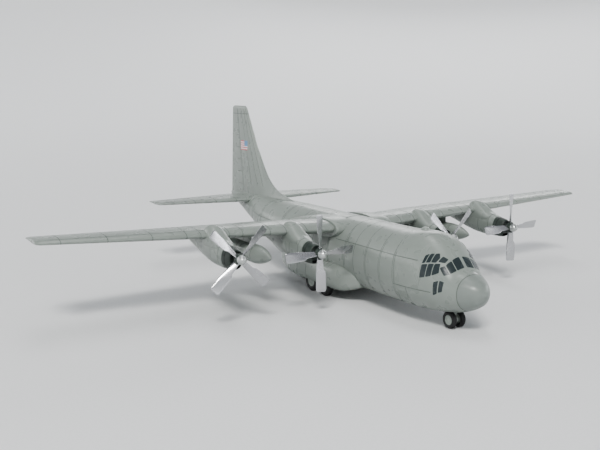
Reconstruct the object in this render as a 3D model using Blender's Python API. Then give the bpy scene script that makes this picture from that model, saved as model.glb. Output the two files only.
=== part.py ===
"""A 1:130 plastic model of a four-engine, high-wing military transport plane,
standing on its wheels. The nose points along -Y, the left (port) side is +X,
and the wheels stand on Z = 0, under the middle of the model.

Stations run aft from the nose tip. Full-size lengths, in metres of the real
aircraft, are turned into model metres by fs(). Lengths that belong to the
model itself, such as walls, gaps and pins, are already model metres.
"""

import math

import bmesh
import bpy
from mathutils import Matrix, Vector

# ---------------------------------------------------------------- dimensions
SCALE = 1.0 / 130.0

# full-size metres
LENGTH = 29.79
SPAN = 40.41
HEIGHT = 11.66

BODY_HALF_WIDTH = 2.16
BODY_TOP = 5.00
BODY_BELLY = 0.68
UPSWEEP_START = 17.4

WING_LE = 11.2
WING_CHORD = 4.88
WING_TIP_CHORD = 2.48
WING_KINK = 5.60
WING_ROOT_X = 2.14
WING_ROOT_Z = 4.22
WING_DIHEDRAL = math.radians(2.5)
WING_INCIDENCE = math.radians(3.0)
WING_ROOT_THICK = 0.17
WING_TIP_THICK = 0.12

ENGINE_INBOARD_X = 4.95
ENGINE_OUTBOARD_X = 10.15
ENGINE_Z = 3.64
PROP_STATION = 8.45
PROP_DIAMETER = 4.56
NACELLE_FRONT = 9.60
NACELLE_END = 15.3

PAD_LE = 11.0
PAD_CHORD = 5.9
PAD_THICK = 0.185
PAD_X = 2.12

TANK_X = 7.55
TANK_NOSE = 9.6
TANK_LENGTH = 7.7
TANK_RADIUS = 0.56
TANK_DROP = 1.16

STAB_LE = 24.45
STAB_HALF_SPAN = 8.03
STAB_ROOT_CHORD = 4.30
STAB_TIP_CHORD = 2.15
STAB_Z = 4.62
STAB_ROOT_X = 0.25

FIN_ROOT_LE = 23.1
FIN_ROOT_CHORD = 6.60
FIN_TIP_LE = 27.05
FIN_TIP_CHORD = 2.35
FIN_ROOT_Z = 4.72

MAIN_GEAR_STATION = 12.85
MAIN_GEAR_SPACING = 1.52
MAIN_TRACK = 4.36
MAIN_WHEEL_RADIUS = 0.71
NOSE_GEAR_STATION = 2.38
NOSE_WHEEL_RADIUS = 0.495

SPONSON_START = 9.1
SPONSON_END = 18.7

# model metres
WALL = 0.0013
SPLIT = 0.00002
JOINT_GAP = 0.00005
SHAFT_RADIUS = 0.0008
SHAFT_CLEARANCE = 0.00008
AXLE_RADIUS = 0.0010
AXLE_CLEARANCE = 0.00010
MAIN_WHEEL_WIDTH = 0.0036
NOSE_WHEEL_WIDTH = 0.0024
NOSE_WHEEL_OFFSET = 0.0024
TAB_LENGTH = 0.0200
TAB_THICK = 0.0015
TAB_DEPTH = 0.0035

RING_STEPS = 14


def fs(value):
    """Model metres for a length of the full-size aircraft."""
    return value * SCALE


def st(station):
    """The model's Y for a station in full-size metres aft of the nose tip."""
    return (station - LENGTH / 2.0) * SCALE


# ---------------------------------------------------------------- scene
for old in list(bpy.data.objects):
    bpy.data.objects.remove(old, do_unlink=True)

PARTS = bpy.data.collections.new("transport_plane_model")
CUTTERS = bpy.data.collections.new("cutters")
bpy.context.scene.collection.children.link(PARTS)
bpy.context.scene.collection.children.link(CUTTERS)


def material(name, colour, roughness, metallic=0.0):
    made = bpy.data.materials.new(name)
    made.use_nodes = True
    shader = made.node_tree.nodes["Principled BSDF"]
    shader.inputs["Base Color"].default_value = (*colour, 1.0)
    shader.inputs["Roughness"].default_value = roughness
    shader.inputs["Metallic"].default_value = metallic
    return made


def add(name, mesh, paint):
    obj = bpy.data.objects.new(name, mesh)
    PARTS.objects.link(obj)
    obj.data.materials.clear()
    obj.data.materials.append(paint)
    return obj


def helper(name, mesh):
    obj = bpy.data.objects.new(name, mesh)
    CUTTERS.objects.link(obj)
    obj.hide_render = True
    obj.display_type = "WIRE"
    return obj


def boolean(obj, other, operation):
    step = obj.modifiers.new(operation.lower() + "_" + other.name, "BOOLEAN")
    step.operation = operation
    step.object = other
    step.solver = "EXACT"
    return step


def finish_mesh(name, bm, sharp=math.radians(35)):
    bmesh.ops.recalc_face_normals(bm, faces=bm.faces)
    mesh = bpy.data.meshes.new(name)
    bm.to_mesh(mesh)
    bm.free()
    mesh.shade_smooth()
    mesh.set_sharp_from_angle(angle=sharp)
    return mesh


def loft(name, rings):
    """A closed solid through rings of equal point count, capped at both ends."""
    bm = bmesh.new()
    loops = [[bm.verts.new(p) for p in ring] for ring in rings]
    count = len(loops[0])
    for a, b in zip(loops, loops[1:]):
        for i in range(count):
            j = (i + 1) % count
            bm.faces.new((a[i], a[j], b[j], b[i]))
    bm.faces.new(loops[0][::-1])
    bm.faces.new(loops[-1])
    return finish_mesh(name, bm)


def box_mesh(name, low, high):
    bm = bmesh.new()
    size = [h - l for l, h in zip(low, high)]
    centre = [(l + h) / 2 for l, h in zip(low, high)]
    bmesh.ops.create_cube(bm, size=1.0)
    for v in bm.verts:
        v.co = Vector([c + x * s for c, x, s in zip(centre, v.co, size)])
    return finish_mesh(name, bm)


def rod_mesh(name, centre, axis, radius, length, segments=20, radius2=None):
    """A cylinder or cone about axis 'X', 'Y' or 'Z', centred on its middle."""
    bm = bmesh.new()
    bmesh.ops.create_cone(
        bm, cap_ends=True, segments=segments, radius1=radius,
        radius2=radius if radius2 is None else radius2, depth=length)
    turn = {"X": Matrix.Rotation(math.pi / 2, 4, "Y"),
            "Y": Matrix.Rotation(-math.pi / 2, 4, "X"),
            "Z": Matrix.Identity(4)}[axis]
    bmesh.ops.transform(bm, matrix=Matrix.Translation(centre) @ turn, verts=bm.verts)
    return finish_mesh(name, bm)


def turned(name, profile, segments=20):
    """A solid of revolution about Z from (radius, height) pairs, bottom to top,
    whose first and last points lie on the axis or which closes as a ring."""
    bm = bmesh.new()
    rows = []
    for r, z in profile:
        if r < 1e-9:
            rows.append([bm.verts.new((0, 0, z))])
        else:
            rows.append([bm.verts.new((r * math.cos(2 * math.pi * k / segments),
                                       r * math.sin(2 * math.pi * k / segments), z))
                         for k in range(segments)])
    closed = len(rows[0]) > 1
    pairs = list(zip(rows, rows[1:])) + ([(rows[-1], rows[0])] if closed else [])
    for a, b in pairs:
        for k in range(segments):
            n = (k + 1) % segments
            if len(a) == 1:
                bm.faces.new((a[0], b[n], b[k]))
            elif len(b) == 1:
                bm.faces.new((a[k], a[n], b[0]))
            else:
                bm.faces.new((a[k], a[n], b[n], b[k]))
    return finish_mesh(name, bm)


def smooth(a, b, t):
    t = max(0.0, min(1.0, t))
    t = t * t * (3 - 2 * t)
    return a + (b - a) * t


def curve_at(points, x):
    """A monotone cubic through (x, y) pairs."""
    if x <= points[0][0]:
        return points[0][1]
    if x >= points[-1][0]:
        return points[-1][1]
    xs = [p[0] for p in points]
    ys = [p[1] for p in points]
    d = [(ys[i + 1] - ys[i]) / (xs[i + 1] - xs[i]) for i in range(len(xs) - 1)]
    m = [d[0]]
    for i in range(1, len(d)):
        if d[i - 1] * d[i] <= 0:
            m.append(0.0)
        else:
            w1 = 2 * (xs[i + 1] - xs[i]) + (xs[i] - xs[i - 1])
            w2 = (xs[i + 1] - xs[i]) + 2 * (xs[i] - xs[i - 1])
            m.append((w1 + w2) / (w1 / d[i - 1] + w2 / d[i]))
    m.append(d[-1])
    for i in range(len(d)):
        if xs[i] <= x <= xs[i + 1]:
            h = xs[i + 1] - xs[i]
            t = (x - xs[i]) / h
            return ((2 * t**3 - 3 * t**2 + 1) * ys[i] + (t**3 - 2 * t**2 + t) * h * m[i]
                    + (-2 * t**3 + 3 * t**2) * ys[i + 1] + (t**3 - t**2) * h * m[i + 1])
    return ys[-1]


# ---------------------------------------------------------------- fuselage
# side profile: top line, bottom line and widest height, and the half width
TOP_LINE = [(0.0, 2.40), (0.12, 2.68), (0.4, 2.96), (0.9, 3.22), (1.45, 3.44), (1.75, 3.74), (2.05, 4.06),
            (2.4, 4.37), (2.8, 4.66), (3.3, 4.94), (3.9, 5.12), (4.6, 5.15), (5.4, 5.09), (6.6, 5.02),
            (8.5, BODY_TOP), (17.0, BODY_TOP),
            (22.0, 4.97), (26.0, 4.92), (28.4, 4.88), (29.74, 4.74)]
BOTTOM_LINE = [(0.0, 2.24), (0.12, 1.94), (0.4, 1.60), (0.9, 1.32), (1.6, 1.07), (2.6, 0.87),
               (4.0, 0.73), (5.6, BODY_BELLY), (UPSWEEP_START, BODY_BELLY), (18.6, 0.86),
               (20.4, 1.48), (22.6, 2.30), (25.0, 3.16), (27.2, 3.86), (29.2, 4.38), (29.74, 4.56)]
WAIST_LINE = [(0.0, 2.32), (0.9, 2.32), (2.0, 2.45), (3.6, 2.74), (5.6, 2.84), (UPSWEEP_START, 2.84),
              (20.4, 3.25), (23.0, 3.72), (26.0, 4.12), (29.74, 4.66)]
WIDTH_LINE = [(0.0, 0.08), (0.12, 0.38), (0.4, 0.70), (0.9, 1.04), (1.45, 1.30), (2.2, 1.60), (3.2, 1.90),
              (4.4, 2.08), (5.8, BODY_HALF_WIDTH), (UPSWEEP_START, BODY_HALF_WIDTH), (19.5, 2.05),
              (22.0, 1.75), (24.6, 1.30), (27.0, 0.80), (28.8, 0.42), (29.5, 0.20), (29.74, 0.08)]
BODY_STATIONS = [0.0, 0.12, 0.28, 0.5, 0.9, 1.2, 1.5, 1.9, 2.4, 2.9, 3.4, 4.0, 4.7, 5.6, 7.0, 9.0, 11.0,
                 13.0, 15.0, 16.6, 17.4, 18.1, 18.8, 19.8, 21.0, 22.4, 23.8, 25.2, 26.6, 28.0, 28.8, 29.4, 29.74]
POCKET_START = 5.2
POCKET_END = 27.0


def body_point(station, angle, inset=0.0):
    """A point of the half section, in full-size metres: angle 90 degrees is the
    top centreline, -90 the bottom."""
    top = curve_at(TOP_LINE, station)
    bottom = curve_at(BOTTOM_LINE, station)
    waist = curve_at(WAIST_LINE, station)
    width = curve_at(WIDTH_LINE, station)
    c, s = math.cos(angle), math.sin(angle)
    height = (top - waist if s >= 0 else waist - bottom) - inset
    width -= inset
    power = 2.0 / 2.15
    x = max(0.0, width) * abs(c) ** power
    z = waist + max(0.02, height) * abs(s) ** power * (1 if s >= 0 else -1)
    return x, z


def body_half(name, side):
    """One moulded half of the fuselage: solid nose and tail end, and a wall of
    even thickness between them, open towards the other half."""
    inset = WALL / SCALE
    bm = bmesh.new()
    outer, inner = [], []
    for station in BODY_STATIONS:
        hollow = 1.0 if POCKET_START < station < POCKET_END else 0.0
        depth = inset if hollow else min(inset, 0.3 * curve_at(WIDTH_LINE, station))
        row_o, row_i = [], []
        for k in range(RING_STEPS + 1):
            angle = math.pi / 2 - math.pi * k / RING_STEPS
            x, z = body_point(station, angle)
            row_o.append(bm.verts.new((side * (SPLIT + fs(x)), st(station), fs(z))))
            x, z = body_point(station, angle, depth)
            row_i.append(bm.verts.new((side * (SPLIT + hollow * fs(x)), st(station), fs(z))))
        outer.append(row_o)
        inner.append(row_i)

    def quad(a, b, c, d):
        bm.faces.new((a, b, c, d) if side > 0 else (d, c, b, a))

    n = RING_STEPS
    for i in range(len(outer) - 1):
        for k in range(n):
            quad(outer[i][k], outer[i][k + 1], outer[i + 1][k + 1], outer[i + 1][k])
            quad(inner[i][k + 1], inner[i][k], inner[i + 1][k], inner[i + 1][k + 1])
        quad(outer[i][0], outer[i + 1][0], inner[i + 1][0], inner[i][0])
        quad(outer[i][n], inner[i][n], inner[i + 1][n], outer[i + 1][n])
    for k in range(n):
        quad(outer[0][k + 1], outer[0][k], inner[0][k], inner[0][k + 1])
        quad(outer[-1][k], outer[-1][k + 1], inner[-1][k + 1], inner[-1][k])
    return finish_mesh(name, bm)


def oval_ring(cx, cz, rx, rz, y, power=2.4, count=20):
    ring = []
    for k in range(count):
        a = 2 * math.pi * k / count
        c, s = math.cos(a), math.sin(a)
        ring.append((cx + rx * math.copysign(abs(c) ** (2 / power), c), y,
                     cz + rz * math.copysign(abs(s) ** (2 / power), s)))
    return ring


SPONSON_STATIONS = [9.1, 9.3, 9.7, 10.3, 11.1, 12.2, 13.4, 14.8, 16.0, 17.0, 17.8, 18.4, 18.7]


def sponson(name, side):
    """The long fairing over the main wheels, low on the side of the body."""
    rings = []
    for station in SPONSON_STATIONS:
        if station < 13.0:
            grow = math.sin(math.pi / 2 * min(1.0, (station - SPONSON_START + 0.05) / 2.1)) ** 0.6
        else:
            grow = math.cos(math.pi / 2 * max(0.0, (station - 14.6) / (SPONSON_END - 14.6 + 0.1))) ** 0.7
        low = 0.60 + 0.55 * (1 - grow)
        high = 2.22 - 0.55 * (1 - grow)
        outer = 1.50 + 1.13 * grow
        inner = 1.20
        rings.append(oval_ring(side * fs((outer + inner) / 2), fs((low + high) / 2),
                               fs((outer - inner) / 2), fs((high - low) / 2), st(station), 2.8))
    return loft(name, rings)


def foil_points(chord, thick, camber, count=11):
    """An aerofoil outline from the trailing edge over the top and back, as
    (distance aft of the leading edge, height over the chord line)."""
    def half(x):
        return 5 * thick * (0.2969 * math.sqrt(x) - 0.1260 * x - 0.3516 * x**2
                            + 0.2843 * x**3 - 0.1015 * x**4)

    def mean(x):
        return 4 * camber * x * (1 - x)

    top, low = [], []
    for k in range(count + 1):
        x = 0.5 * (1 - math.cos(math.pi * k / count))
        y = max(half(x), 0.0035)
        top.append((x * chord, (mean(x) + y) * chord))
        low.append((x * chord, (mean(x) - y) * chord))
    top[0] = (0.0, 0.0)
    return top[::-1] + low[1:]


def wing_section(x):
    """Leading edge station, chord, chord line height at the leading edge,
    thickness ratio, twist and camber at a distance from the centreline."""
    t = max(0.0, (x - WING_KINK) / (SPAN / 2 - WING_KINK))
    chord = WING_CHORD + (WING_TIP_CHORD - WING_CHORD) * t
    lead = WING_LE + (WING_CHORD - chord) * 0.30
    height = WING_ROOT_Z + math.tan(WING_DIHEDRAL) * x
    thick = WING_ROOT_THICK + (WING_TIP_THICK - WING_ROOT_THICK) * t
    twist = WING_INCIDENCE * (1 - t)
    return lead, chord, height, thick, twist, 0.022


def wing_ring(x, side, shrink=1.0):
    lead, chord, height, thick, twist, camber = wing_section(x)
    ring = []
    for a, b in foil_points(chord, thick, camber):
        a = (a - 0.4 * chord) * shrink
        b *= shrink
        aft = lead + 0.4 * chord + a * math.cos(twist) + b * math.sin(twist)
        up = height + b * math.cos(twist) - a * math.sin(twist)
        ring.append((side * fs(x), st(aft), fs(up)))
    return ring


def wing_height(x, aft_fraction=0.4):
    lead, chord, height, thick, twist, camber = wing_section(x)
    return height - (aft_fraction - 0.4) * chord * math.sin(twist)


def pad_ring(x, side, grow=1.0):
    """The oval fairing on the body's side that the wing root sits against:
    blunt in front, drawn out to a point behind."""
    ring = []
    for a, b in foil_points(PAD_CHORD, PAD_THICK, 0.0):
        aft = PAD_LE + 0.4 * PAD_CHORD + (a - 0.4 * PAD_CHORD) * (1 + (grow - 1) * 0.35)
        up = wing_height(WING_ROOT_X, 0.42) + b * grow - (a - 0.4 * PAD_CHORD) * math.sin(WING_INCIDENCE) * 0.6
        ring.append((side * fs(x), st(aft), fs(up)))
    return ring


def nacelle(name, side, x):
    """The engine cowling moulded to the wing, from behind the engine front to
    its fade-out over and under the wing."""
    base = ENGINE_Z + math.tan(WING_DIHEDRAL) * (x - ENGINE_INBOARD_X)
    rows = [  # station, half width, top and bottom over the thrust line
        (NACELLE_FRONT, 0.56, 0.58, -0.74),
        (10.2, 0.60, 0.74, -0.77),
        (10.9, 0.61, 0.92, -0.74),
        (11.5, 0.61, 1.08, -0.68),
        (12.0, 0.58, 1.13, -0.60),
        (12.4, 0.50, 1.02, -0.52),
        (13.2, 0.46, 0.86, -0.34),
        (14.2, 0.38, 0.72, -0.10),
        (NACELLE_END, 0.24, 0.52, 0.16),
    ]
    rings = [oval_ring(side * fs(x), fs(base + (hi + lo) / 2), fs(hw), fs((hi - lo) / 2), st(s), 2.3, 18)
             for s, hw, hi, lo in rows]
    return loft(name, rings)


def engine_front(name, side, x):
    """The dark cowl lip, gearbox housing and chin intake behind the propeller."""
    base = ENGINE_Z + math.tan(WING_DIHEDRAL) * (x - ENGINE_INBOARD_X)
    rows = [
        (8.84, 0.36, 0.38, -0.40),
        (8.90, 0.42, 0.43, -0.64),
        (9.12, 0.49, 0.50, -0.73),
        (NACELLE_FRONT - JOINT_GAP / SCALE, 0.55, 0.57, -0.75),
    ]
    rings = [oval_ring(side * fs(x), fs(base + (hi + lo) / 2), fs(hw), fs((hi - lo) / 2), st(s), 2.2, 18)
             for s, hw, hi, lo in rows]
    return loft(name, rings), base


def blade(name, radius):
    """One propeller blade along +Z in the plane of the disc, turning about Y."""
    rings = []
    rows = [  # fraction of radius, chord, thickness, twist
        (0.09, 0.24, 0.17, 60), (0.20, 0.30, 0.15, 50), (0.36, 0.38, 0.12, 41),
        (0.46, 0.50, 0.11, 36), (0.66, 0.57, 0.10, 28), (0.86, 0.60, 0.085, 22), (0.96, 0.57, 0.075, 20),
        (1.0, 0.48, 0.065, 19),
    ]
    for fraction, chord, thick, twist in rows:
        turn = math.radians(twist)
        ring = []
        for k in range(8):
            a = 2 * math.pi * k / 8
            u = fs(chord / 2 * math.cos(a))
            v = fs(thick / 2 * math.sin(a))
            ring.append((u * math.cos(turn) - v * math.sin(turn),
                         u * math.sin(turn) + v * math.cos(turn), radius * fraction))
        rings.append(ring)
    return loft(name, rings)


# ---------------------------------------------------------------- paints
SKIN = material("grey_green_plastic", (0.35, 0.42, 0.38), 0.38)
DARK = material("dark_green_plastic", (0.055, 0.075, 0.065), 0.45)
SILVER = material("silver_plastic", (0.78, 0.78, 0.79), 0.28, 0.6)
TYRE = material("black_plastic", (0.02, 0.02, 0.022), 0.6)
GEAR = material("white_grey_plastic", (0.55, 0.57, 0.57), 0.4)


def build_body():
    for side, name in ((1, "left"), (-1, "right")):
        half = add(f"fuselage_{name}_half", body_half(f"body_{name}", side), SKIN)
        boolean(half, helper(f"sponson_{name}", sponson(f"sponson_{name}", side)), "UNION")

        pad = [pad_ring(x, side, grow) for x, grow in ((0.9, 1.16), (1.7, 1.06), (PAD_X - 0.04, 1.0), (PAD_X, 0.985))]
        boolean(half, helper(f"wing_pad_{name}", loft(f"wing_pad_{name}", pad)), "UNION")

        # flat strip along the belly
        low = (side * -0.001 if side > 0 else -0.03, st(6.5), fs(BODY_BELLY) - 0.002)
        high = (0.03 if side > 0 else 0.001, st(17.0), fs(BODY_BELLY) + 0.00035)
        boolean(half, helper(f"belly_plane_{name}", box_mesh(
            f"belly_plane_{name}", (-0.0125, low[1], low[2]), (0.0125, high[1], high[2]))), "DIFFERENCE")

        # main wheel well, open below
        mid = MAIN_GEAR_STATION
        xs = sorted((side * 0.0135, side * 0.0190))
        boolean(half, helper(f"main_well_{name}", box_mesh(
            f"main_well_{name}", (xs[0], st(mid - 1.62), -0.001), (xs[1], st(mid + 1.62), 0.0120))),
            "DIFFERENCE")

        # nose wheel well, open below
        boolean(half, helper(f"nose_well_{name}", box_mesh(
            f"nose_well_{name}", (-0.0042, st(NOSE_GEAR_STATION - 0.62), 0.002),
            (0.0042, st(NOSE_GEAR_STATION + 0.62), 0.0098))), "DIFFERENCE")

        # slots for the tabs of wing and stabiliser
        lead, chord, height, _, _, _ = wing_section(WING_ROOT_X)
        mid_y = st(lead + 0.42 * chord)
        xs = sorted((side * (fs(WING_ROOT_X) - TAB_DEPTH - 0.0003), side * (fs(WING_ROOT_X) + 0.004)))
        z = fs(wing_height(WING_ROOT_X, 0.42)) + 0.0003
        boolean(half, helper(f"wing_slot_{name}", box_mesh(
            f"wing_slot_{name}", (xs[0], mid_y - TAB_LENGTH / 2 - 0.0001, z - TAB_THICK / 2 - 0.0001),
            (xs[1], mid_y + TAB_LENGTH / 2 + 0.0001, z + TAB_THICK / 2 + 0.0001))), "DIFFERENCE")


def build_wings():
    for side, name in ((1, "left"), (-1, "right")):
        spans = [WING_ROOT_X, WING_KINK, 8.5, 11.5, 14.5, 17.5, 19.6]
        rings = [wing_ring(x, side) for x in spans]
        rings.append(wing_ring(SPAN / 2 - 0.14, side, 0.90))
        rings.append(wing_ring(SPAN / 2, side, 0.62))
        wing = add(f"wing_{name}", loft(f"wing_{name}", rings), SKIN)
        lead, chord, height, _, _, _ = wing_section(WING_ROOT_X)
        mid_y = st(lead + 0.42 * chord)
        xs = sorted((side * (fs(WING_ROOT_X) - TAB_DEPTH), side * (fs(WING_ROOT_X) + 0.002)))
        z = fs(wing_height(WING_ROOT_X, 0.42)) + 0.0003
        boolean(wing, helper(f"wing_tab_{name}", box_mesh(
            f"wing_tab_{name}", (xs[0], mid_y - TAB_LENGTH / 2, z - TAB_THICK / 2),
            (xs[1], mid_y + TAB_LENGTH / 2, z + TAB_THICK / 2))), "UNION")
        for x, place in ((ENGINE_INBOARD_X, "inboard"), (ENGINE_OUTBOARD_X, "outboard")):
            boolean(wing, helper(f"nacelle_{name}_{place}", nacelle(
                f"nacelle_{name}_{place}", side, x)), "UNION")


def build_engines():
    places = ((1, 1, ENGINE_OUTBOARD_X), (2, 1, ENGINE_INBOARD_X),
              (3, -1, ENGINE_INBOARD_X), (4, -1, ENGINE_OUTBOARD_X))
    radius = fs(PROP_DIAMETER / 2)
    blade_mesh = blade("blade", radius)
    for number, side, x in places:
        mesh, base = engine_front(f"engine_front_{number}", side, x)
        front = add(f"engine_front_{number}", mesh, DARK)
        centre = Vector((side * fs(x), st(PROP_STATION), fs(base)))
        bore_y = st(8.84)
        boolean(front, helper(f"shaft_bore_{number}", rod_mesh(
            f"shaft_bore_{number}", (centre.x, bore_y, centre.z), "Y",
            SHAFT_RADIUS + SHAFT_CLEARANCE, 0.0086)), "DIFFERENCE")

        hub = turned(f"hub_{number}", [
            (0.0, -fs(0.20)), (fs(0.27), -fs(0.20)), (fs(0.30), -fs(0.12)), (fs(0.30), fs(0.16)),
            (fs(0.27), fs(0.34)), (fs(0.20), fs(0.48)), (fs(0.10), fs(0.56)), (0.0, fs(0.58))], 16)
        prop = add(f"propeller_{number}", hub, SILVER)
        prop.location = centre
        # the hub's own Z points forward, along -Y
        prop.rotation_euler = (math.pi / 2, 0.0, 0.0)
        turn0 = 0.0 if number in (1, 3) else math.pi / 4
        for k in range(4):
            one = helper(f"blade_{number}_{k}", blade_mesh)
            one.matrix_world = Matrix.Translation(centre) @ Matrix.Rotation(turn0 + k * math.pi / 2, 4, "Y")
            boolean(prop, one, "UNION")
        shaft = helper(f"shaft_{number}", rod_mesh(
            f"shaft_{number}", (centre.x, centre.y + fs(0.15) + 0.0027, centre.z), "Y",
            SHAFT_RADIUS, 0.0056, 16))
        boolean(prop, shaft, "UNION")


def build_tanks():
    for side, name in ((1, "left"), (-1, "right")):
        z = WING_ROOT_Z + math.tan(WING_DIHEDRAL) * TANK_X - TANK_DROP
        rings = []
        count = 16
        for k in range(count + 1):
            t = k / count
            s = TANK_NOSE + TANK_LENGTH * (0.004 + 0.992 * (t * t * (3 - 2 * t) * 0.5 + t * 0.5))
            u = (s - TANK_NOSE) / TANK_LENGTH
            r = TANK_RADIUS * min(1.0, (math.sin(math.pi / 2 * min(1.0, u / 0.24)) ** 0.75 if u < 0.24 else
                                        math.cos(math.pi / 2 * max(0.0, (u - 0.58) / 0.42)) ** 0.8))
            r = max(r, 0.03)
            rings.append(oval_ring(side * fs(TANK_X), fs(z), fs(r), fs(r), st(s), 2.0, 18))
        tank = add(f"drop_tank_{name}", loft(f"tank_{name}", rings), SKIN)
        # pylon up to the wing's lower skin
        lead, chord, height, thick, twist, _ = wing_section(TANK_X)
        pylon_rings = []
        for up, shrink in ((z + 0.2, 1.0), (z + 1.6, 0.92)):
            ring = []
            for a, b in foil_points(2.9 * shrink, 0.075, 0.0, 8):
                ring.append((side * fs(TANK_X) + fs(b), st(lead + 0.7 + a), fs(up)))
            pylon_rings.append(ring)
        pylon = helper(f"pylon_{name}", loft(f"pylon_{name}", pylon_rings))
        boolean(tank, pylon, "UNION")
        # the wing's own outline, a little fat, leaves the pylon's top just under it
        fat = [wing_fat(x, side) for x in (TANK_X - 1.0, TANK_X + 1.0)]
        boolean(tank, helper(f"under_wing_{name}", loft(f"under_wing_{name}", fat)), "DIFFERENCE")


def wing_fat(x, side):
    """The wing outline at x, grown by the joint gap and open upwards."""
    lead, chord, height, thick, twist, camber = wing_section(x)
    ring = []
    grow = JOINT_GAP / SCALE
    for a, b in foil_points(chord, thick, camber):
        high = b > 4 * camber * (a / chord) * (1 - a / chord) * chord
        b = b + (1.2 if high else -grow)
        a2 = (a - 0.4 * chord) * 1.02
        aft = lead + 0.4 * chord + a2 * math.cos(twist) + b * math.sin(twist)
        up = height + b * math.cos(twist) - a2 * math.sin(twist)
        ring.append((side * fs(x), st(aft), fs(up)))
    return ring


def tail_ring(lead, chord, thick, count=9):
    return [(lead + a, b) for a, b in foil_points(chord, thick, 0.0, count)]


def build_tail():
    for side, name in ((1, "left"), (-1, "right")):
        rings = []
        rows = [(STAB_ROOT_X, 1.0, 1.0), (3.5, None, 1.0), (6.0, None, 1.0), (7.75, None, 1.0),
                (STAB_HALF_SPAN, None, 0.62)]
        for x, _, shrink in rows:
            t = (x - STAB_ROOT_X) / (STAB_HALF_SPAN - STAB_ROOT_X)
            chord = STAB_ROOT_CHORD + (STAB_TIP_CHORD - STAB_ROOT_CHORD) * t
            lead = STAB_LE + (STAB_ROOT_CHORD - chord) * 0.55
            ring = [(side * fs(x), st(lead + 0.4 * chord + (a - 0.4 * chord) * shrink), fs(STAB_Z + b * shrink))
                    for a, b in foil_points(chord, 0.115 - 0.02 * t, 0.0, 9)]
            rings.append(ring)
        add(f"stabiliser_{name}", loft(f"stabiliser_{name}", rings), SKIN)

    rings = []
    rows = [(FIN_ROOT_Z, 1.0), (6.2, 1.0), (8.0, 1.0), (9.8, 1.0), (11.3, 1.0), (HEIGHT - 0.06, 0.9),
            (HEIGHT, 0.6)]
    for z, shrink in rows:
        t = (z - FIN_ROOT_Z) / (HEIGHT - FIN_ROOT_Z)
        chord = FIN_ROOT_CHORD + (FIN_TIP_CHORD - FIN_ROOT_CHORD) * t
        lead = FIN_ROOT_LE + (FIN_TIP_LE - FIN_ROOT_LE) * t
        rings.append([(fs(b * shrink), st(lead + 0.4 * chord + (a - 0.4 * chord) * shrink), fs(z))
                      for a, b in foil_points(chord, 0.095, 0.0, 9)])
    fin = add("tail_fin", loft("tail_fin", rings), SKIN)
    # dorsal fillet ahead of the fin
    dorsal = []
    for s, top, half in ((19.0, 4.86, 0.05), (20.5, 5.10, 0.10), (22.0, 5.45, 0.16), (23.2, 6.1, 0.22),
                         (24.2, 7.2, 0.20), (24.9, 7.9, 0.12)):
        dorsal.append([(fs(-half), st(s), fs(4.75)), (fs(half), st(s), fs(4.75)),
                       (fs(half * 0.8), st(s), fs(4.75 + 0.6 * (top - 4.75))), (fs(0.04), st(s), fs(top)),
                       (fs(-0.04), st(s), fs(top)), (fs(-half * 0.8), st(s), fs(4.75 + 0.6 * (top - 4.75)))])
    boolean(fin, helper("dorsal", loft("dorsal", dorsal)), "UNION")


def seat_tail():
    """The fin and stabilisers are cut to the body's outside, with a fine gap."""
    rings = []
    for station in [s for s in BODY_STATIONS if s > 17] :
        ring = []
        steps = 2 * RING_STEPS
        gap = JOINT_GAP / SCALE
        for k in range(steps):
            angle = math.pi / 2 - 2 * math.pi * k / steps
            folded = angle if angle >= -math.pi / 2 else -math.pi - angle
            side = 1 if k < RING_STEPS or k == 0 else -1
            x, z = body_point(station, folded, -gap)
            ring.append((side * fs(x), st(station), fs(z)))
        rings.append(ring)
    rings.append([(x, st(31.0), z) for x, _, z in rings[-1]])
    tool = helper("body_outside", loft("body_outside", rings))
    for name in ("tail_fin", "stabiliser_left", "stabiliser_right"):
        boolean(bpy.data.objects[name], tool, "DIFFERENCE")


def wheel_profile(radius, width, bore):
    h = width / 2
    r = radius
    return [(bore, -h * 0.74), (0.52 * r, -h * 0.74), (0.62 * r, -h), (0.86 * r, -h * 0.92),
            (r, -h * 0.45), (r, h * 0.45), (0.86 * r, h * 0.92), (0.62 * r, h),
            (0.52 * r, h * 0.74), (bore, h * 0.74)]


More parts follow.
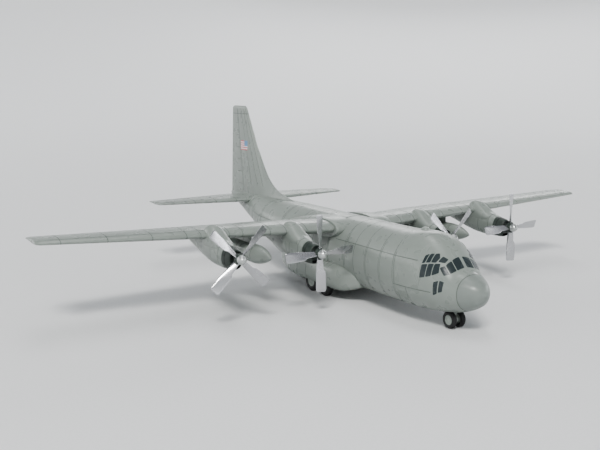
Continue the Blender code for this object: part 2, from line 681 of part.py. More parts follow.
def build_gear():
    r = fs(MAIN_WHEEL_RADIUS)
    for side, name in ((1, "left"), (-1, "right")):
        x = side * fs(MAIN_TRACK / 2)
        for step, place in ((-0.5, "front"), (0.5, "rear")):
            y = st(MAIN_GEAR_STATION + step * MAIN_GEAR_SPACING)
            wheel = add(f"main_wheel_{place}_{name}", turned(
                f"main_wheel_{place}_{name}",
                wheel_profile(r, MAIN_WHEEL_WIDTH, AXLE_RADIUS + AXLE_CLEARANCE)), TYRE)
            wheel.location = (x, y, r)
            wheel.rotation_euler = (0.0, math.pi / 2, 0.0)
        # bracket: a top bar with two legs and their axle stubs
        xs = sorted((side * 0.01372, side * 0.01468))
        y0 = st(MAIN_GEAR_STATION - 0.5 * MAIN_GEAR_SPACING)
        y1 = st(MAIN_GEAR_STATION + 0.5 * MAIN_GEAR_SPACING)
        gear = add(f"main_gear_{name}", box_mesh(
            f"main_gear_{name}", (xs[0], y0 - 0.0030, 0.0092), (xs[1], y1 + 0.0030, 0.0119)), GEAR)
        for k, y in enumerate((y0, y1)):
            boolean(gear, helper(f"main_leg_{name}_{k}", box_mesh(
                f"main_leg_{name}_{k}", (xs[0], y - 0.0017, r - 0.0004), (xs[1], y + 0.0017, 0.0100))), "UNION")
            boolean(gear, helper(f"main_boss_{name}_{k}", rod_mesh(
                f"main_boss_{name}_{k}", (sum(xs) / 2, y, r), "X", 0.0021, xs[1] - xs[0] + 1e-5, 20)), "UNION")
            inner, outer = side * 0.0142, x + side * (MAIN_WHEEL_WIDTH * 0.37)
            boolean(gear, helper(f"main_axle_{name}_{k}", rod_mesh(
                f"main_axle_{name}_{k}", ((inner + outer) / 2, y, r), "X", AXLE_RADIUS,
                abs(outer - inner), 20)), "UNION")

    rn = fs(NOSE_WHEEL_RADIUS)
    y = st(NOSE_GEAR_STATION)
    axle = add("nose_axle", rod_mesh("nose_axle", (0, 0, 0), "Z", AXLE_RADIUS * 0.75,
                                     2 * (NOSE_WHEEL_OFFSET + NOSE_WHEEL_WIDTH * 0.37), 16), GEAR)
    axle.location = (0, y, rn)
    axle.rotation_euler = (0, math.pi / 2, 0)
    for side, name in ((1, "left"), (-1, "right")):
        wheel = add(f"nose_wheel_{name}", turned(
            f"nose_wheel_{name}", wheel_profile(rn, NOSE_WHEEL_WIDTH, AXLE_RADIUS * 0.75 + 0.00003)), TYRE)
        wheel.location = (side * NOSE_WHEEL_OFFSET, y, rn)
        wheel.rotation_euler = (0, math.pi / 2, 0)
    leg = add("nose_gear_leg", rod_mesh("nose_gear_leg", (0, y, rn), "X", 0.0017, 0.0019, 20), GEAR)
    boolean(leg, helper("nose_strut", rod_mesh(
        "nose_strut", (0, y, (rn + 0.0095) / 2), "Z", 0.00085, 0.0095 - rn, 16)), "UNION")
    boolean(leg, helper("nose_plate", box_mesh(
        "nose_plate", (-0.0036, y - 0.0036, 0.0088), (0.0036, y + 0.0036, 0.0097))), "UNION")
    boolean(leg, helper("nose_axle_bore", rod_mesh(
        "nose_axle_bore", (0, y, rn), "X", AXLE_RADIUS * 0.75 + AXLE_CLEARANCE, 0.01, 20)), "DIFFERENCE")


build_body()
build_wings()
build_engines()
build_tanks()
build_tail()
seat_tail()
build_gear()
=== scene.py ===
"""The looks of a 1:130 plastic model of a four-engine, high-wing military
transport plane, put together and standing on its wheels.

Lengths of the full-size aircraft are in metres and are turned into model
metres by fs(); st() gives the model's Y for a station aft of the nose tip.
Every visible moulding is rebuilt here at a finer grain than the solids it
stands for, with its engraved panel lines cut as real V grooves.
"""

import math

import bmesh
import bpy
import numpy as np
from mathutils import Matrix, Vector


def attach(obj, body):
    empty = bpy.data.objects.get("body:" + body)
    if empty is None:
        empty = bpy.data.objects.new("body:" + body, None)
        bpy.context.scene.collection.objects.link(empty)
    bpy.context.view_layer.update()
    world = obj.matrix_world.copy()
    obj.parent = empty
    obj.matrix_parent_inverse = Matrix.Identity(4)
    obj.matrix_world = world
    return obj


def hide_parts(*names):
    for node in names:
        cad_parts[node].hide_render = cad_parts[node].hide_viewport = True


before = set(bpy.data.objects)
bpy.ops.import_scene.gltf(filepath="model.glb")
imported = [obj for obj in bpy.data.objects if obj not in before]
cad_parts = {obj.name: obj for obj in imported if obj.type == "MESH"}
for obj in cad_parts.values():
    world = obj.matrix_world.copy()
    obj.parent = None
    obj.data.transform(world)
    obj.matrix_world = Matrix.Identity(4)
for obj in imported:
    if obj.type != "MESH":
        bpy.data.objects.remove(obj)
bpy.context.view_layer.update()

# ---------------------------------------------------------------- dimensions
SCALE = 1.0 / 130.0
LENGTH = 29.79
SPAN = 40.41
HEIGHT = 11.66

BODY_HALF_WIDTH = 2.16
BODY_TOP = 5.00
BODY_BELLY = 0.68
UPSWEEP_START = 17.4

WING_LE = 11.2
WING_CHORD = 4.88
WING_TIP_CHORD = 2.48
WING_KINK = 5.60
WING_ROOT_X = 2.14
WING_ROOT_Z = 4.22
WING_DIHEDRAL = math.radians(2.5)
WING_INCIDENCE = math.radians(3.0)
WING_ROOT_THICK = 0.17
WING_TIP_THICK = 0.12

ENGINE_INBOARD_X = 4.95
ENGINE_OUTBOARD_X = 10.15
ENGINE_Z = 3.64
PROP_STATION = 8.45
PROP_DIAMETER = 4.56
NACELLE_FRONT = 9.60
NACELLE_END = 15.3

PAD_LE = 11.0
PAD_CHORD = 5.9
PAD_THICK = 0.185
PAD_X = 2.12

TANK_X = 7.55
TANK_NOSE = 9.6
TANK_LENGTH = 7.7
TANK_RADIUS = 0.56
TANK_DROP = 1.16

STAB_LE = 24.45
STAB_HALF_SPAN = 8.03
STAB_ROOT_CHORD = 4.30
STAB_TIP_CHORD = 2.15
STAB_Z = 4.62
STAB_ROOT_X = 0.25

FIN_ROOT_LE = 23.1
FIN_ROOT_CHORD = 6.60
FIN_TIP_LE = 27.05
FIN_TIP_CHORD = 2.35
FIN_ROOT_Z = 4.72

MAIN_GEAR_STATION = 12.85
MAIN_GEAR_SPACING = 1.52
MAIN_TRACK = 4.36
MAIN_WHEEL_RADIUS = 0.71
NOSE_GEAR_STATION = 2.38
NOSE_WHEEL_RADIUS = 0.495

SPONSON_START = 9.1
SPONSON_END = 18.7

# model metres
SPLIT = 0.00002
SHAFT_RADIUS = 0.0008
AXLE_RADIUS = 0.0010
MAIN_WHEEL_WIDTH = 0.0036
NOSE_WHEEL_WIDTH = 0.0024
NOSE_WHEEL_OFFSET = 0.0024

GROOVE_HALF = 0.019      # half the width of a panel line, full-size metres
GROOVE_DEPTH = 0.00010   # its depth, model metres


def fs(value):
    return value * SCALE


def st(station):
    return (station - LENGTH / 2.0) * SCALE


# ---------------------------------------------------------------- materials
def srgb(r, g, b):
    def one(v):
        v /= 255.0
        return v / 12.92 if v <= 0.04045 else ((v + 0.055) / 1.055) ** 2.4
    return (one(r), one(g), one(b))


def moulded(name, colour, rough=(0.30, 0.42), mottle=0.05, grain=0.10, metallic=0.0,
            specular=0.5, flow=0.0):
    """Moulded plastic: slow cloudy colour changes from the melt, uneven gloss
    and a very fine orange-peel surface."""
    mat = bpy.data.materials.new(name)
    mat.use_nodes = True
    tree = mat.node_tree
    nodes, links = tree.nodes, tree.links
    bsdf = nodes["Principled BSDF"]
    bsdf.inputs["Metallic"].default_value = metallic
    bsdf.inputs["Specular IOR Level"].default_value = specular
    coords = nodes.new("ShaderNodeTexCoord")

    cloud = nodes.new("ShaderNodeTexNoise")
    cloud.inputs["Scale"].default_value = 42.0
    cloud.inputs["Detail"].default_value = 0.0
    cloud.inputs["Roughness"].default_value = 0.4
    cloud.inputs["Distortion"].default_value = 0.1 + flow
    links.new(coords.outputs["Object"], cloud.inputs["Vector"])
    ramp = nodes.new("ShaderNodeValToRGB")
    ramp.color_ramp.elements[0].position = 0.25
    ramp.color_ramp.elements[1].position = 0.75
    dark = tuple(c * (1 - mottle) for c in colour)
    light = tuple(min(1.0, c * (1 + mottle)) for c in colour)
    ramp.color_ramp.elements[0].color = (*dark, 1.0)
    ramp.color_ramp.elements[1].color = (*light, 1.0)
    links.new(cloud.outputs["Fac"], ramp.inputs["Fac"])
    links.new(ramp.outputs["Color"], bsdf.inputs["Base Color"])

    sheen = nodes.new("ShaderNodeTexNoise")
    sheen.inputs["Scale"].default_value = 210.0
    sheen.inputs["Detail"].default_value = 1.0
    links.new(coords.outputs["Object"], sheen.inputs["Vector"])
    spread = nodes.new("ShaderNodeMapRange")
    spread.inputs["From Min"].default_value = 0.3
    spread.inputs["From Max"].default_value = 0.7
    spread.inputs["To Min"].default_value = rough[0]
    spread.inputs["To Max"].default_value = rough[1]
    links.new(sheen.outputs["Fac"], spread.inputs["Value"])
    links.new(spread.outputs["Result"], bsdf.inputs["Roughness"])

    peel = nodes.new("ShaderNodeTexNoise")
    peel.inputs["Scale"].default_value = 1100.0
    peel.inputs["Detail"].default_value = 1.0
    links.new(coords.outputs["Object"], peel.inputs["Vector"])
    bump = nodes.new("ShaderNodeBump")
    bump.inputs["Strength"].default_value = grain
    bump.inputs["Distance"].default_value = 0.00002
    links.new(peel.outputs["Fac"], bump.inputs["Height"])
    links.new(bump.outputs["Normal"], bsdf.inputs["Normal"])
    return mat


SKIN_COLOUR = srgb(134, 141, 136)
SKIN = moulded("grey_green_plastic", SKIN_COLOUR, (0.26, 0.33), 0.016, 0.04)
# Nose cap: its own cap ahead of the first frame, coloured a little darker than the skin as painted shade on the nose.
NOSE_CAP_SHADE = moulded("nose_cap_painted_shade", srgb(126, 133, 129), (0.28, 0.35), 0.014, 0.04)
LINE = moulded("panel_line_shade", srgb(88, 96, 91), (0.45, 0.6), 0.05, 0.05)
DARK = moulded("dark_green_plastic", srgb(50, 59, 54), (0.34, 0.48), 0.10, 0.15)
DEEP = moulded("intake_shadow", srgb(18, 20, 19), (0.6, 0.75), 0.10, 0.15)
SILVER = moulded("silver_plastic", (0.53, 0.535, 0.55), (0.20, 0.30), 0.05, 0.12, metallic=0.93)
DOME = moulded("dull_silver_plastic", (0.50, 0.52, 0.51), (0.24, 0.36), 0.06, 0.12, metallic=0.80)
TYRE = moulded("tyre_plastic", srgb(34, 35, 36), (0.50, 0.66), 0.12, 0.30)
RIM = moulded("rim_plastic", srgb(150, 158, 152), (0.34, 0.46), 0.05, 0.12)
GEAR = moulded("gear_plastic", srgb(160, 167, 162), (0.33, 0.45), 0.05, 0.12)
PANE = moulded("window_print", srgb(47, 56, 58), (0.20, 0.30), 0.12, 0.05)
MARK = moulded("marking_print", srgb(30, 35, 35), (0.32, 0.42), 0.08, 0.05)
BLUE = moulded("patch_blue", srgb(96, 138, 176), (0.32, 0.42), 0.05, 0.05)
RED = moulded("patch_red", srgb(186, 92, 104), (0.32, 0.42), 0.06, 0.05)
WHITE = moulded("patch_white", srgb(222, 220, 222), (0.32, 0.42), 0.03, 0.05)
FLOOR = None

pieces = []


# ---------------------------------------------------------------- meshes
def finish_mesh(mesh, sharp=25.0):
    bm = bmesh.new()
    bm.from_mesh(mesh)
    bmesh.ops.recalc_face_normals(bm, faces=bm.faces)
    bm.to_mesh(mesh)
    bm.free()
    mesh.shade_smooth()
    mesh.set_sharp_from_angle(angle=math.radians(sharp))
    return mesh


def make(name, verts, faces, mats, index=None, sharp=25.0):
    mesh = bpy.data.meshes.new(name)
    mesh.from_pydata([tuple(v) for v in verts], [], faces)
    for mat in mats:
        mesh.materials.append(mat)
    if index is not None:
        mesh.polygons.foreach_set("material_index", np.asarray(index, dtype=np.int32))
    finish_mesh(mesh, sharp)
    obj = bpy.data.objects.new(name, mesh)
    bpy.context.scene.collection.objects.link(obj)
    return obj


def normals_of(points, closed):
    du = np.gradient(points, axis=0)
    if closed:
        dv = (np.roll(points, -1, axis=1) - np.roll(points, 1, axis=1)) / 2.0
    else:
        dv = np.gradient(points, axis=1)
    n = np.cross(du, dv)
    length = np.linalg.norm(n, axis=2, keepdims=True)
    n = n / np.maximum(length, 1e-15)
    middle = points.mean(axis=1, keepdims=True)
    if (n * (points - middle)).sum() < 0:
        n = -n
    return n


def grid_object(name, points, mats, depth=None, closed=True, ring_closed=True, base=0, line=1, sharp=25.0, rows_base=None):
    """A closed solid over a grid of rings. depth sinks points along the normal,
    and the faces that touch a sunk point take the line material."""
    rows, cols, _ = points.shape
    moved = points
    if depth is not None:
        moved = points - normals_of(points, closed) * depth[..., None]
    faces, index = [], []
    last = cols if ring_closed else cols - 1
    for i in range(rows - 1):
        for j in range(last):
            k = (j + 1) % cols
            faces.append((i * cols + j, i * cols + k, (i + 1) * cols + k, (i + 1) * cols + j))
            cut = 0
            if depth is not None and k > j:
                cut = max(depth[i, j], depth[i, k], depth[i + 1, j], depth[i + 1, k]) > 0.00003
            index.append(line if cut else (base if rows_base is None else rows_base[i]))
    faces.append(tuple(range(cols))[::-1])
    faces.append(tuple((rows - 1) * cols + j for j in range(cols)))
    index += [base, base]
    return make(name, moved.reshape(-1, 3), faces, mats, index, sharp)


def combine(obj, others, operation="UNION", sharp=25.0):
    """Boolean steps, baked into the object's mesh, and the tools removed."""
    for other in others:
        step = obj.modifiers.new(operation.lower(), "BOOLEAN")
        step.operation = operation
        step.object = other
        step.solver = "EXACT"
    graph = bpy.context.evaluated_depsgraph_get()
    mesh = bpy.data.meshes.new_from_object(obj.evaluated_get(graph))
    obj.modifiers.clear()
    old = obj.data
    obj.data = mesh
    bpy.data.meshes.remove(old)
    for other in others:
        data = other.data
        bpy.data.objects.remove(other)
        if data.users == 0:
            bpy.data.meshes.remove(data)
    mesh.shade_smooth()
    mesh.set_sharp_from_angle(angle=math.radians(sharp))
    return obj


def join(name, objects):
    """Loose parts of one moulding as one object."""
    verts, faces, index, mats = [], [], [], []
    for obj in objects:
        local = [mats.index(m) if m in mats else (mats.append(m) or len(mats) - 1) for m in obj.data.materials]
        start = len(verts)
        world = obj.matrix_world
        verts += [tuple(world @ v.co) for v in obj.data.vertices]
        for poly in obj.data.polygons:
            faces.append(tuple(start + v for v in poly.vertices))
            index.append(local[poly.material_index])
        data = obj.data
        bpy.data.objects.remove(obj)
        bpy.data.meshes.remove(data)
    return make(name, verts, faces, mats, index)


def box_object(name, low, high, mats, bevel=0.0, segments=2):
    bm = bmesh.new()
    bmesh.ops.create_cube(bm, size=1.0)
    size = [h - l for l, h in zip(low, high)]
    centre = [(l + h) / 2 for l, h in zip(low, high)]
    for v in bm.verts:
        v.co = Vector([c + x * s for c, x, s in zip(centre, v.co, size)])
    if bevel:
        bmesh.ops.bevel(bm, geom=bm.edges[:], offset=bevel, segments=segments, affect="EDGES", profile=0.6)
    mesh = bpy.data.meshes.new(name)
    bm.to_mesh(mesh)
    bm.free()
    for mat in mats:
        mesh.materials.append(mat)
    finish_mesh(mesh, 40)
    obj = bpy.data.objects.new(name, mesh)
    bpy.context.scene.collection.objects.link(obj)
    return obj


def turned(name, profile, mats, centre, axis, segments=48, marks=None, sharp=30.0):
    """A solid of revolution from (radius, distance along the axis, material)
    rows. Rows on the axis close an end; otherwise the profile closes as a ring."""
    turn = {"X": Matrix.Rotation(math.pi / 2, 4, "Y"),
            "-Y": Matrix.Rotation(math.pi / 2, 4, "X"),
            "Y": Matrix.Rotation(-math.pi / 2, 4, "X"),
            "Z": Matrix.Identity(4)}[axis]
    place = Matrix.Translation(centre) @ turn
    verts, rows = [], []
    for row in profile:
        r, h = row[0], row[1]
        if r < 1e-9:
            rows.append([len(verts)])
            verts.append(place @ Vector((0, 0, h)))
        else:
            rows.append(list(range(len(verts), len(verts) + segments)))
            for k in range(segments):
                a = 2 * math.pi * k / segments
                verts.append(place @ Vector((r * math.cos(a), r * math.sin(a), h)))
    closed = len(rows[0]) > 1
    pairs = [(i, i + 1) for i in range(len(rows) - 1)] + ([(len(rows) - 1, 0)] if closed else [])
    faces, index = [], []
    for i, j in pairs:
        a, b = rows[i], rows[j]
        mat = profile[i][2] if len(profile[i]) > 2 else 0
        for k in range(segments):
            n = (k + 1) % segments
            if len(a) == 1:
                faces.append((a[0], b[n], b[k]))
            elif len(b) == 1:
                faces.append((a[k], a[n], b[0]))
            else:
                faces.append((a[k], a[n], b[n], b[k]))
            index.append(mat)
    return make(name, verts, faces, mats, index, sharp)


def rod(name, start, end, radius, mats, segments=20, bevel=0.0, end_radius=None):
    """A round bar between two points, with softened rims."""
    start, end = Vector(start), Vector(end)
    along = end - start
    length = along.length
    r2 = radius if end_radius is None else end_radius
    b = min(bevel, 0.45 * length, 0.9 * radius)
    if b > 0:
        rows = [(0, 0), (radius - b, 0), (radius - 0.3 * b, 0.3 * b), (radius, b), (r2, length - b),
                (r2 - 0.3 * b, length - 0.3 * b), (r2 - b, length), (0, length)]
    else:
        rows = [(0, 0), (radius, 0), (r2, length), (0, length)]
    obj = turned(name, rows, mats, (0, 0, 0), "Z", segments)
    turn = Vector((0, 0, 1)).rotation_difference(along.normalized()).to_matrix().to_4x4()
    obj.data.transform(Matrix.Translation(start) @ turn)
    return obj


def smooth(a, b, t):
    t = max(0.0, min(1.0, t))
    t = t * t * (3 - 2 * t)
    return a + (b - a) * t


def curve_at(points, x):
    """A monotone cubic through (x, y) pairs."""
    if x <= points[0][0]:
        return points[0][1]
    if x >= points[-1][0]:
        return points[-1][1]
    xs = [p[0] for p in points]
    ys = [p[1] for p in points]
    d = [(ys[i + 1] - ys[i]) / (xs[i + 1] - xs[i]) for i in range(len(xs) - 1)]
    m = [d[0]]
    for i in range(1, len(d)):
        if d[i - 1] * d[i] <= 0:
            m.append(0.0)
        else:
            w1 = 2 * (xs[i + 1] - xs[i]) + (xs[i] - xs[i - 1])
            w2 = (xs[i + 1] - xs[i]) + 2 * (xs[i] - xs[i - 1])
            m.append((w1 + w2) / (w1 / d[i - 1] + w2 / d[i]))
    m.append(d[-1])
    for i in range(len(d)):
        if xs[i] <= x <= xs[i + 1]:
            h = xs[i + 1] - xs[i]
            t = (x - xs[i]) / h
            return ((2 * t**3 - 3 * t**2 + 1) * ys[i] + (t**3 - 2 * t**2 + t) * h * m[i]
                    + (-2 * t**3 + 3 * t**2) * ys[i + 1] + (t**3 - t**2) * h * m[i + 1])
    return ys[-1]


def spaced(pairs):
    """Stations from (start, end, step) runs."""
    out = []
    for start, end, step in pairs:
        n = max(1, int(round((end - start) / step)))
        out += [start + (end - start) * k / n for k in range(n)]
    out.append(pairs[-1][1])
    return out


def with_lines(base, lines, half=GROOVE_HALF):
    """Base values, with three values at each line: shoulder, floor, shoulder.
    Returns (value, index of the line or -1)."""
    rows = [(v, -1) for v in base if all(abs(v - g) > 1.7 * half for g in lines)]
    for n, g in enumerate(lines):
        rows += [(g - half, -1), (g, n), (g + half, -1)]
    return sorted(rows)


# ---------------------------------------------------------------- fuselage
TOP_LINE = [(0.4, 2.96), (0.9, 3.22), (1.45, 3.44), (1.75, 3.74), (2.05, 4.06),
            (2.4, 4.37), (2.8, 4.66), (3.3, 4.94), (3.9, 5.12), (4.6, 5.15), (5.4, 5.09), (6.6, 5.02),
            (8.5, BODY_TOP), (17.0, BODY_TOP),
            (22.0, 4.97), (26.0, 4.92), (28.4, 4.88), (29.74, 4.74)]
BOTTOM_LINE = [(0.4, 1.60), (0.9, 1.32), (1.6, 1.07), (2.6, 0.87),
               (4.0, 0.73), (5.6, BODY_BELLY), (UPSWEEP_START, BODY_BELLY), (18.6, 0.86),
               (20.4, 1.48), (22.6, 2.30), (25.0, 3.16), (27.2, 3.86), (29.2, 4.38), (29.74, 4.56)]
WAIST_LINE = [(0.4, 2.32), (0.9, 2.32), (2.0, 2.45), (3.6, 2.74), (5.6, 2.84), (UPSWEEP_START, 2.84),
              (20.4, 3.25), (23.0, 3.72), (26.0, 4.12), (29.74, 4.66)]
WIDTH_LINE = [(0.4, 0.70), (0.9, 1.04), (1.45, 1.30), (2.2, 1.60), (3.2, 1.90),
              (4.4, 2.08), (5.8, BODY_HALF_WIDTH), (UPSWEEP_START, BODY_HALF_WIDTH), (19.5, 2.05),
              (22.0, 1.75), (24.6, 1.30), (27.0, 0.80), (28.8, 0.42), (29.5, 0.20), (29.74, 0.08)]
ROUND = 2.0 / 2.15


def body_lines(s):
    """Top, bottom, waist and half width, with a blunt round nose tip."""
    if s < 0.4:
        f = math.sqrt(max(s, 0.0) / 0.4)
        return 2.32 + 0.64 * f, 2.32 - 0.72 * f, 2.32, 0.70 * f
    return (curve_at(TOP_LINE, s), curve_at(BOTTOM_LINE, s), curve_at(WAIST_LINE, s), curve_at(WIDTH_LINE, s))


def belly_flat(s):
    ramp = smooth(0, 1, (s - 6.2) / 0.6) * smooth(1, 0, (s - 16.7) / 0.6)
    return BODY_BELLY + 0.0455 * ramp - 0.2 * (1 - ramp)


def body_section(s, angles):
    top, bottom, waist, width = body_lines(s)
    c, sn = np.cos(angles), np.sin(angles)
    height = np.where(sn >= 0, top - waist, waist - bottom)
    x = width * np.abs(c) ** ROUND
    z = waist + np.maximum(height, 0.0) * np.abs(sn) ** ROUND * np.where(sn >= 0, 1, -1)
    return x, np.maximum(z, belly_flat(s))


def body_angle(s, z):
    """The section angle, in radians, at height z."""
    top, bottom, waist, width = body_lines(s)
    height = (top - waist) if z >= waist else (waist - bottom)
    f = min(1.0, abs(z - waist) / max(height, 1e-6)) ** (1 / ROUND)
    return math.copysign(math.asin(f), z - waist)


def body_spot(side, s, angle, lift=0.0):
    """A point on the skin, lifted off it by model metres."""
    def at(ss, aa):
        x, z = body_section(ss, np.array([aa]))
        return Vector((side * (SPLIT + fs(float(x[0]))), st(ss), fs(float(z[0]))))
    p = at(s, angle)
    e = 0.01
    along = at(s + e, angle) - at(s - e, angle)
    round_ = at(s, angle + e) - at(s, angle - e)
    n = along.cross(round_)
    if n.length < 1e-12:
        n = Vector((side, 0, 0))
    n.normalize()
    outward = Vector((p.x, 0, p.z - fs(body_lines(s)[2])))
    if n.dot(outward) < 0:
        n = -n
    return p + n * lift


LINE_HIGH = [(0.0, 2.75), (3.4, 3.80), (11.0, 3.80), (18.0, 3.78), (22.8, 3.86), (26.0, 4.30), (29.74, 4.68)]
LINE_LOW = [(0.0, 2.10), (2.4, 2.20), (5.3, 2.18), (UPSWEEP_START, 2.18), (19.5, 2.55), (22.0, 3.05),
            (25.0, 3.75), (29.74, 4.62)]
LINE_DOOR = [(0.0, 1.9), (1.0, 1.65), (2.4, 1.30), (3.8, 1.14), (5.3, 1.12), (UPSWEEP_START, 1.12),
             (19.5, 1.75), (22.0, 2.55), (25.0, 3.40), (27.2, 4.0), (29.74, 4.58)]

FRAMES = [  # station, lowest and highest height at which it is engraved, strength
    (1.02, -9, 9, 1.0), (4.25, 1.12, 2.20, 0.8), (5.18, 1.0, 4.0, 0.5), (5.30, 1.0, 4.6, 1.0),
    (6.48, 0.9, 4.3, 0.5), (6.60, 0.9, 4.7, 1.0), (7.88, 0.9, 4.2, 0.5), (8.00, 0.9, 4.9, 1.0),
    (9.15, -9, 9, 1.0), (10.08, 2.4, 4.5, 0.5), (10.20, -9, 9, 1.0), (11.93, -9, 9, 0.5), (12.05, -9, 9, 1.0),
    (13.85, -9, 9, 1.0), (14.95, -9, 9, 1.0), (16.00, -9, 9, 1.0), (16.95, 1.12, 2.84, 0.8),
    (17.62, 1.12, 2.84, 0.8), (18.15, -9, 9, 0.9), (18.32, -9, 9, 1.0), (21.50, -9, 9, 1.0), (21.66, -9, 9, 0.7),
    (24.2, -9, 9, 0.8),
]
HOOP = (3.22, 3.46)


def body_half(side, name):
    stations = [0.0008] + [0.4 * (k / 11) ** 2 for k in range(2, 11)] + spaced([
        (0.4, 3.0, 0.13), (3.0, 6.0, 0.2), (6.0, 17.4, 0.4), (17.4, 29.0, 0.27), (29.0, 29.74, 0.12)])
    lines = [f[0] for f in FRAMES]
    rows = [r for r in with_lines(stations, lines) if not (HOOP[0] - 0.06 < r[0] < HOOP[1] + 0.06)]
    rows += [(HOOP[0] - 0.022, -1), (HOOP[0], -2), (HOOP[0] + 0.02, -2), (HOOP[1] - 0.02, -2), (HOOP[1], -2),
             (HOOP[1] + 0.022, -1)]
    rows.sort()
    seg = [22, 12, 9, 11, 15]  # cells between top, high line, waist, low line, door line, bottom
    points, depth = [], []
    for s, mark in rows:
        top, bottom, waist, width = body_lines(s)
        high = min(math.radians(62), max(math.radians(10), body_angle(s, curve_at(LINE_HIGH, s))))
        low = max(math.radians(-45), min(math.radians(-8), body_angle(s, curve_at(LINE_LOW, s))))
        door = max(math.radians(-72), min(low - math.radians(9), body_angle(s, curve_at(LINE_DOOR, s))))
        stops = [math.pi / 2, high, 0.0, low, door, -math.pi / 2]
        angles, tags = [], []
        for n, cells in enumerate(seg):
            a, b = stops[n], stops[n + 1]
            for k in range(cells):
                angles.append(a + (b - a) * k / cells)
                tags.append("" if k else ("seam" if n == 0 else ("high", "waist", "low", "door")[n - 1]))
        angles.append(-math.pi / 2)
        tags.append("seam")
        out_a, out_t = [], []
        for a, t in zip(angles, tags):
            tall = (top - waist) if a >= 0 else (waist - bottom)
            local = max(0.25, math.hypot(width * math.sin(a), tall * math.cos(a)))
            h = GROOVE_HALF / local
            if t == "seam":
                sign = -1 if a > 0 else 1
                if a > 0:
                    out_a += [a, a + sign * h]
                    out_t += ["seam", ""]
                else:
                    out_a += [a + sign * h, a]
                    out_t += ["", "seam"]
            elif t:
                out_a += [a + h, a, a - h]
                out_t += ["", t, ""]
            else:
                out_a.append(a)
                out_t.append("")
        angle = np.array(out_a)
        x, z = body_section(s, angle)
        points.append(np.stack([side * (SPLIT + fs(x)), np.full_like(x, st(s)), fs(z)], axis=1))
        d = np.zeros(len(angle))
        seam = 0.000028 * min(1.0, s / 0.8)
        for j, t in enumerate(out_t):
            if t == "seam":
                d[j] = seam
            elif t == "high" and (3.55 < s < 10.9 or 18.2 < s < 23.2):
                d[j] = GROOVE_DEPTH
            elif t == "waist" and 16.94 < s < 17.63:
                d[j] = GROOVE_DEPTH
            elif t == "low" and (2.5 < s < 5.31):
                d[j] = GROOVE_DEPTH
            elif t == "door" and (4.24 < s < 5.31 or 16.94 < s < 17.63):
                d[j] = GROOVE_DEPTH
        if mark >= 0:
            _, lo, hi, strength = FRAMES[mark]
            on = (z > lo) & (z < hi)
            d[on] = np.maximum(d[on], GROOVE_DEPTH * strength)
        if mark == -2:
            on = (z > 2.45) & (z < 4.55)
            d[on] = -0.00021
        depth.append(d)
    points = np.array(points)
    depth = np.array(depth)
    # Rows ahead of the first frame take the darker nose cap colour, which is painted shade.
    return grid_object(name, points, [SKIN, LINE, NOSE_CAP_SHADE], depth, closed=False,
                       rows_base=[2 if r[0] < FRAMES[0][0] else 0 for r in rows])


def oval(cx, cz, rx, rz, y, power=2.4, count=48):
    a = 2 * np.pi * np.arange(count) / count
    c, s = np.cos(a), np.sin(a)
    return np.stack([cx + rx * np.sign(c) * np.abs(c) ** (2 / power), np.full(count, y),
                     cz + rz * np.sign(s) * np.abs(s) ** (2 / power)], axis=1)


def sponson_size(s):
    if s < 13.0:
        grow = math.sin(math.pi / 2 * min(1.0, (s - SPONSON_START + 0.05) / 2.1)) ** 0.6
    else:
        grow = math.cos(math.pi / 2 * max(0.0, (s - 14.6) / (SPONSON_END - 14.6 + 0.1))) ** 0.7
    return 0.60 + 0.55 * (1 - grow), 2.22 - 0.55 * (1 - grow), 1.20, 1.50 + 1.13 * grow


def sponson(side, name):
    base = spaced([(9.1, 9.5, 0.05), (9.5, 11.3, 0.15), (11.3, 14.8, 0.35), (14.8, 18.3, 0.25), (18.3, 18.7, 0.06)])
    rows = with_lines(base, [12.05, 13.85, 14.95, 16.0])
    points, depth = [], []
    for s, mark in rows:
        low, high, inner, outer = sponson_size(s)
        ring = oval(side * fs((outer + inner) / 2), fs((low + high) / 2), fs((outer - inner) / 2),
                    fs((high - low) / 2), st(s), 2.8, 64)
        points.append(ring)
        depth.append(np.full(64, GROOVE_DEPTH if mark >= 0 else 0.0))
    return grid_object(name, np.array(points), [SKIN, LINE], np.array(depth))


def foil_half(x, thick):
    return np.maximum(5 * thick * (0.2969 * np.sqrt(x) - 0.1260 * x - 0.3516 * x**2 + 0.2843 * x**3
                                   - 0.1015 * x**4), 0.0035)


def foil_ring(chord, thick, camber, count=26, top_lines=(), low_lines=(), half=None):
    """An aerofoil outline from the trailing edge over the top and back, as two
    arrays and the tag of each point: 0, or 1.. for a line on top, or -1.. for
    a line below."""
    half = (GROOVE_HALF if half is None else half) / chord
    xs, ys, tags = [], [], []

    def run(lines, sign):
        base = [0.5 * (1 - math.cos(math.pi * k / count)) for k in range(count + 1)]
        vals = [(v, 0) for v in base if all(abs(v - g) > 0.016 for g in lines)]
        for n, g in enumerate(lines):
            vals += [(g - half, 0), (g, n + 1), (g + half, 0)]
        return sorted(vals)

    top = run(top_lines, 1)[::-1]
    low = run(low_lines, -1)
    for v, tag in top:
        xs.append(v)
        ys.append(1)
        tags.append(tag)
    for v, tag in low[1:]:
        xs.append(v)
        ys.append(-1)
        tags.append(-tag)
    x = np.array(xs)
    sign = np.array(ys)
    y = foil_half(x, thick) * sign + 4 * camber * x * (1 - x)
    y[x == 0.0] = 0.0
    return x * chord, y * chord, np.array(tags)


def wing_height(x, aft_fraction=0.4):
    lead, chord, height, thick, twist = wing_section(x)
    return height - (aft_fraction - 0.4) * chord * math.sin(twist)


def wing_section(x):
    t = max(0.0, (x - WING_KINK) / (SPAN / 2 - WING_KINK))
    chord = WING_CHORD + (WING_TIP_CHORD - WING_CHORD) * t
    lead = WING_LE + (WING_CHORD - chord) * 0.30
    height = WING_ROOT_Z + math.tan(WING_DIHEDRAL) * x
    thick = WING_ROOT_THICK + (WING_TIP_THICK - WING_ROOT_THICK) * t
    return lead, chord, height, thick, WING_INCIDENCE * (1 - t)


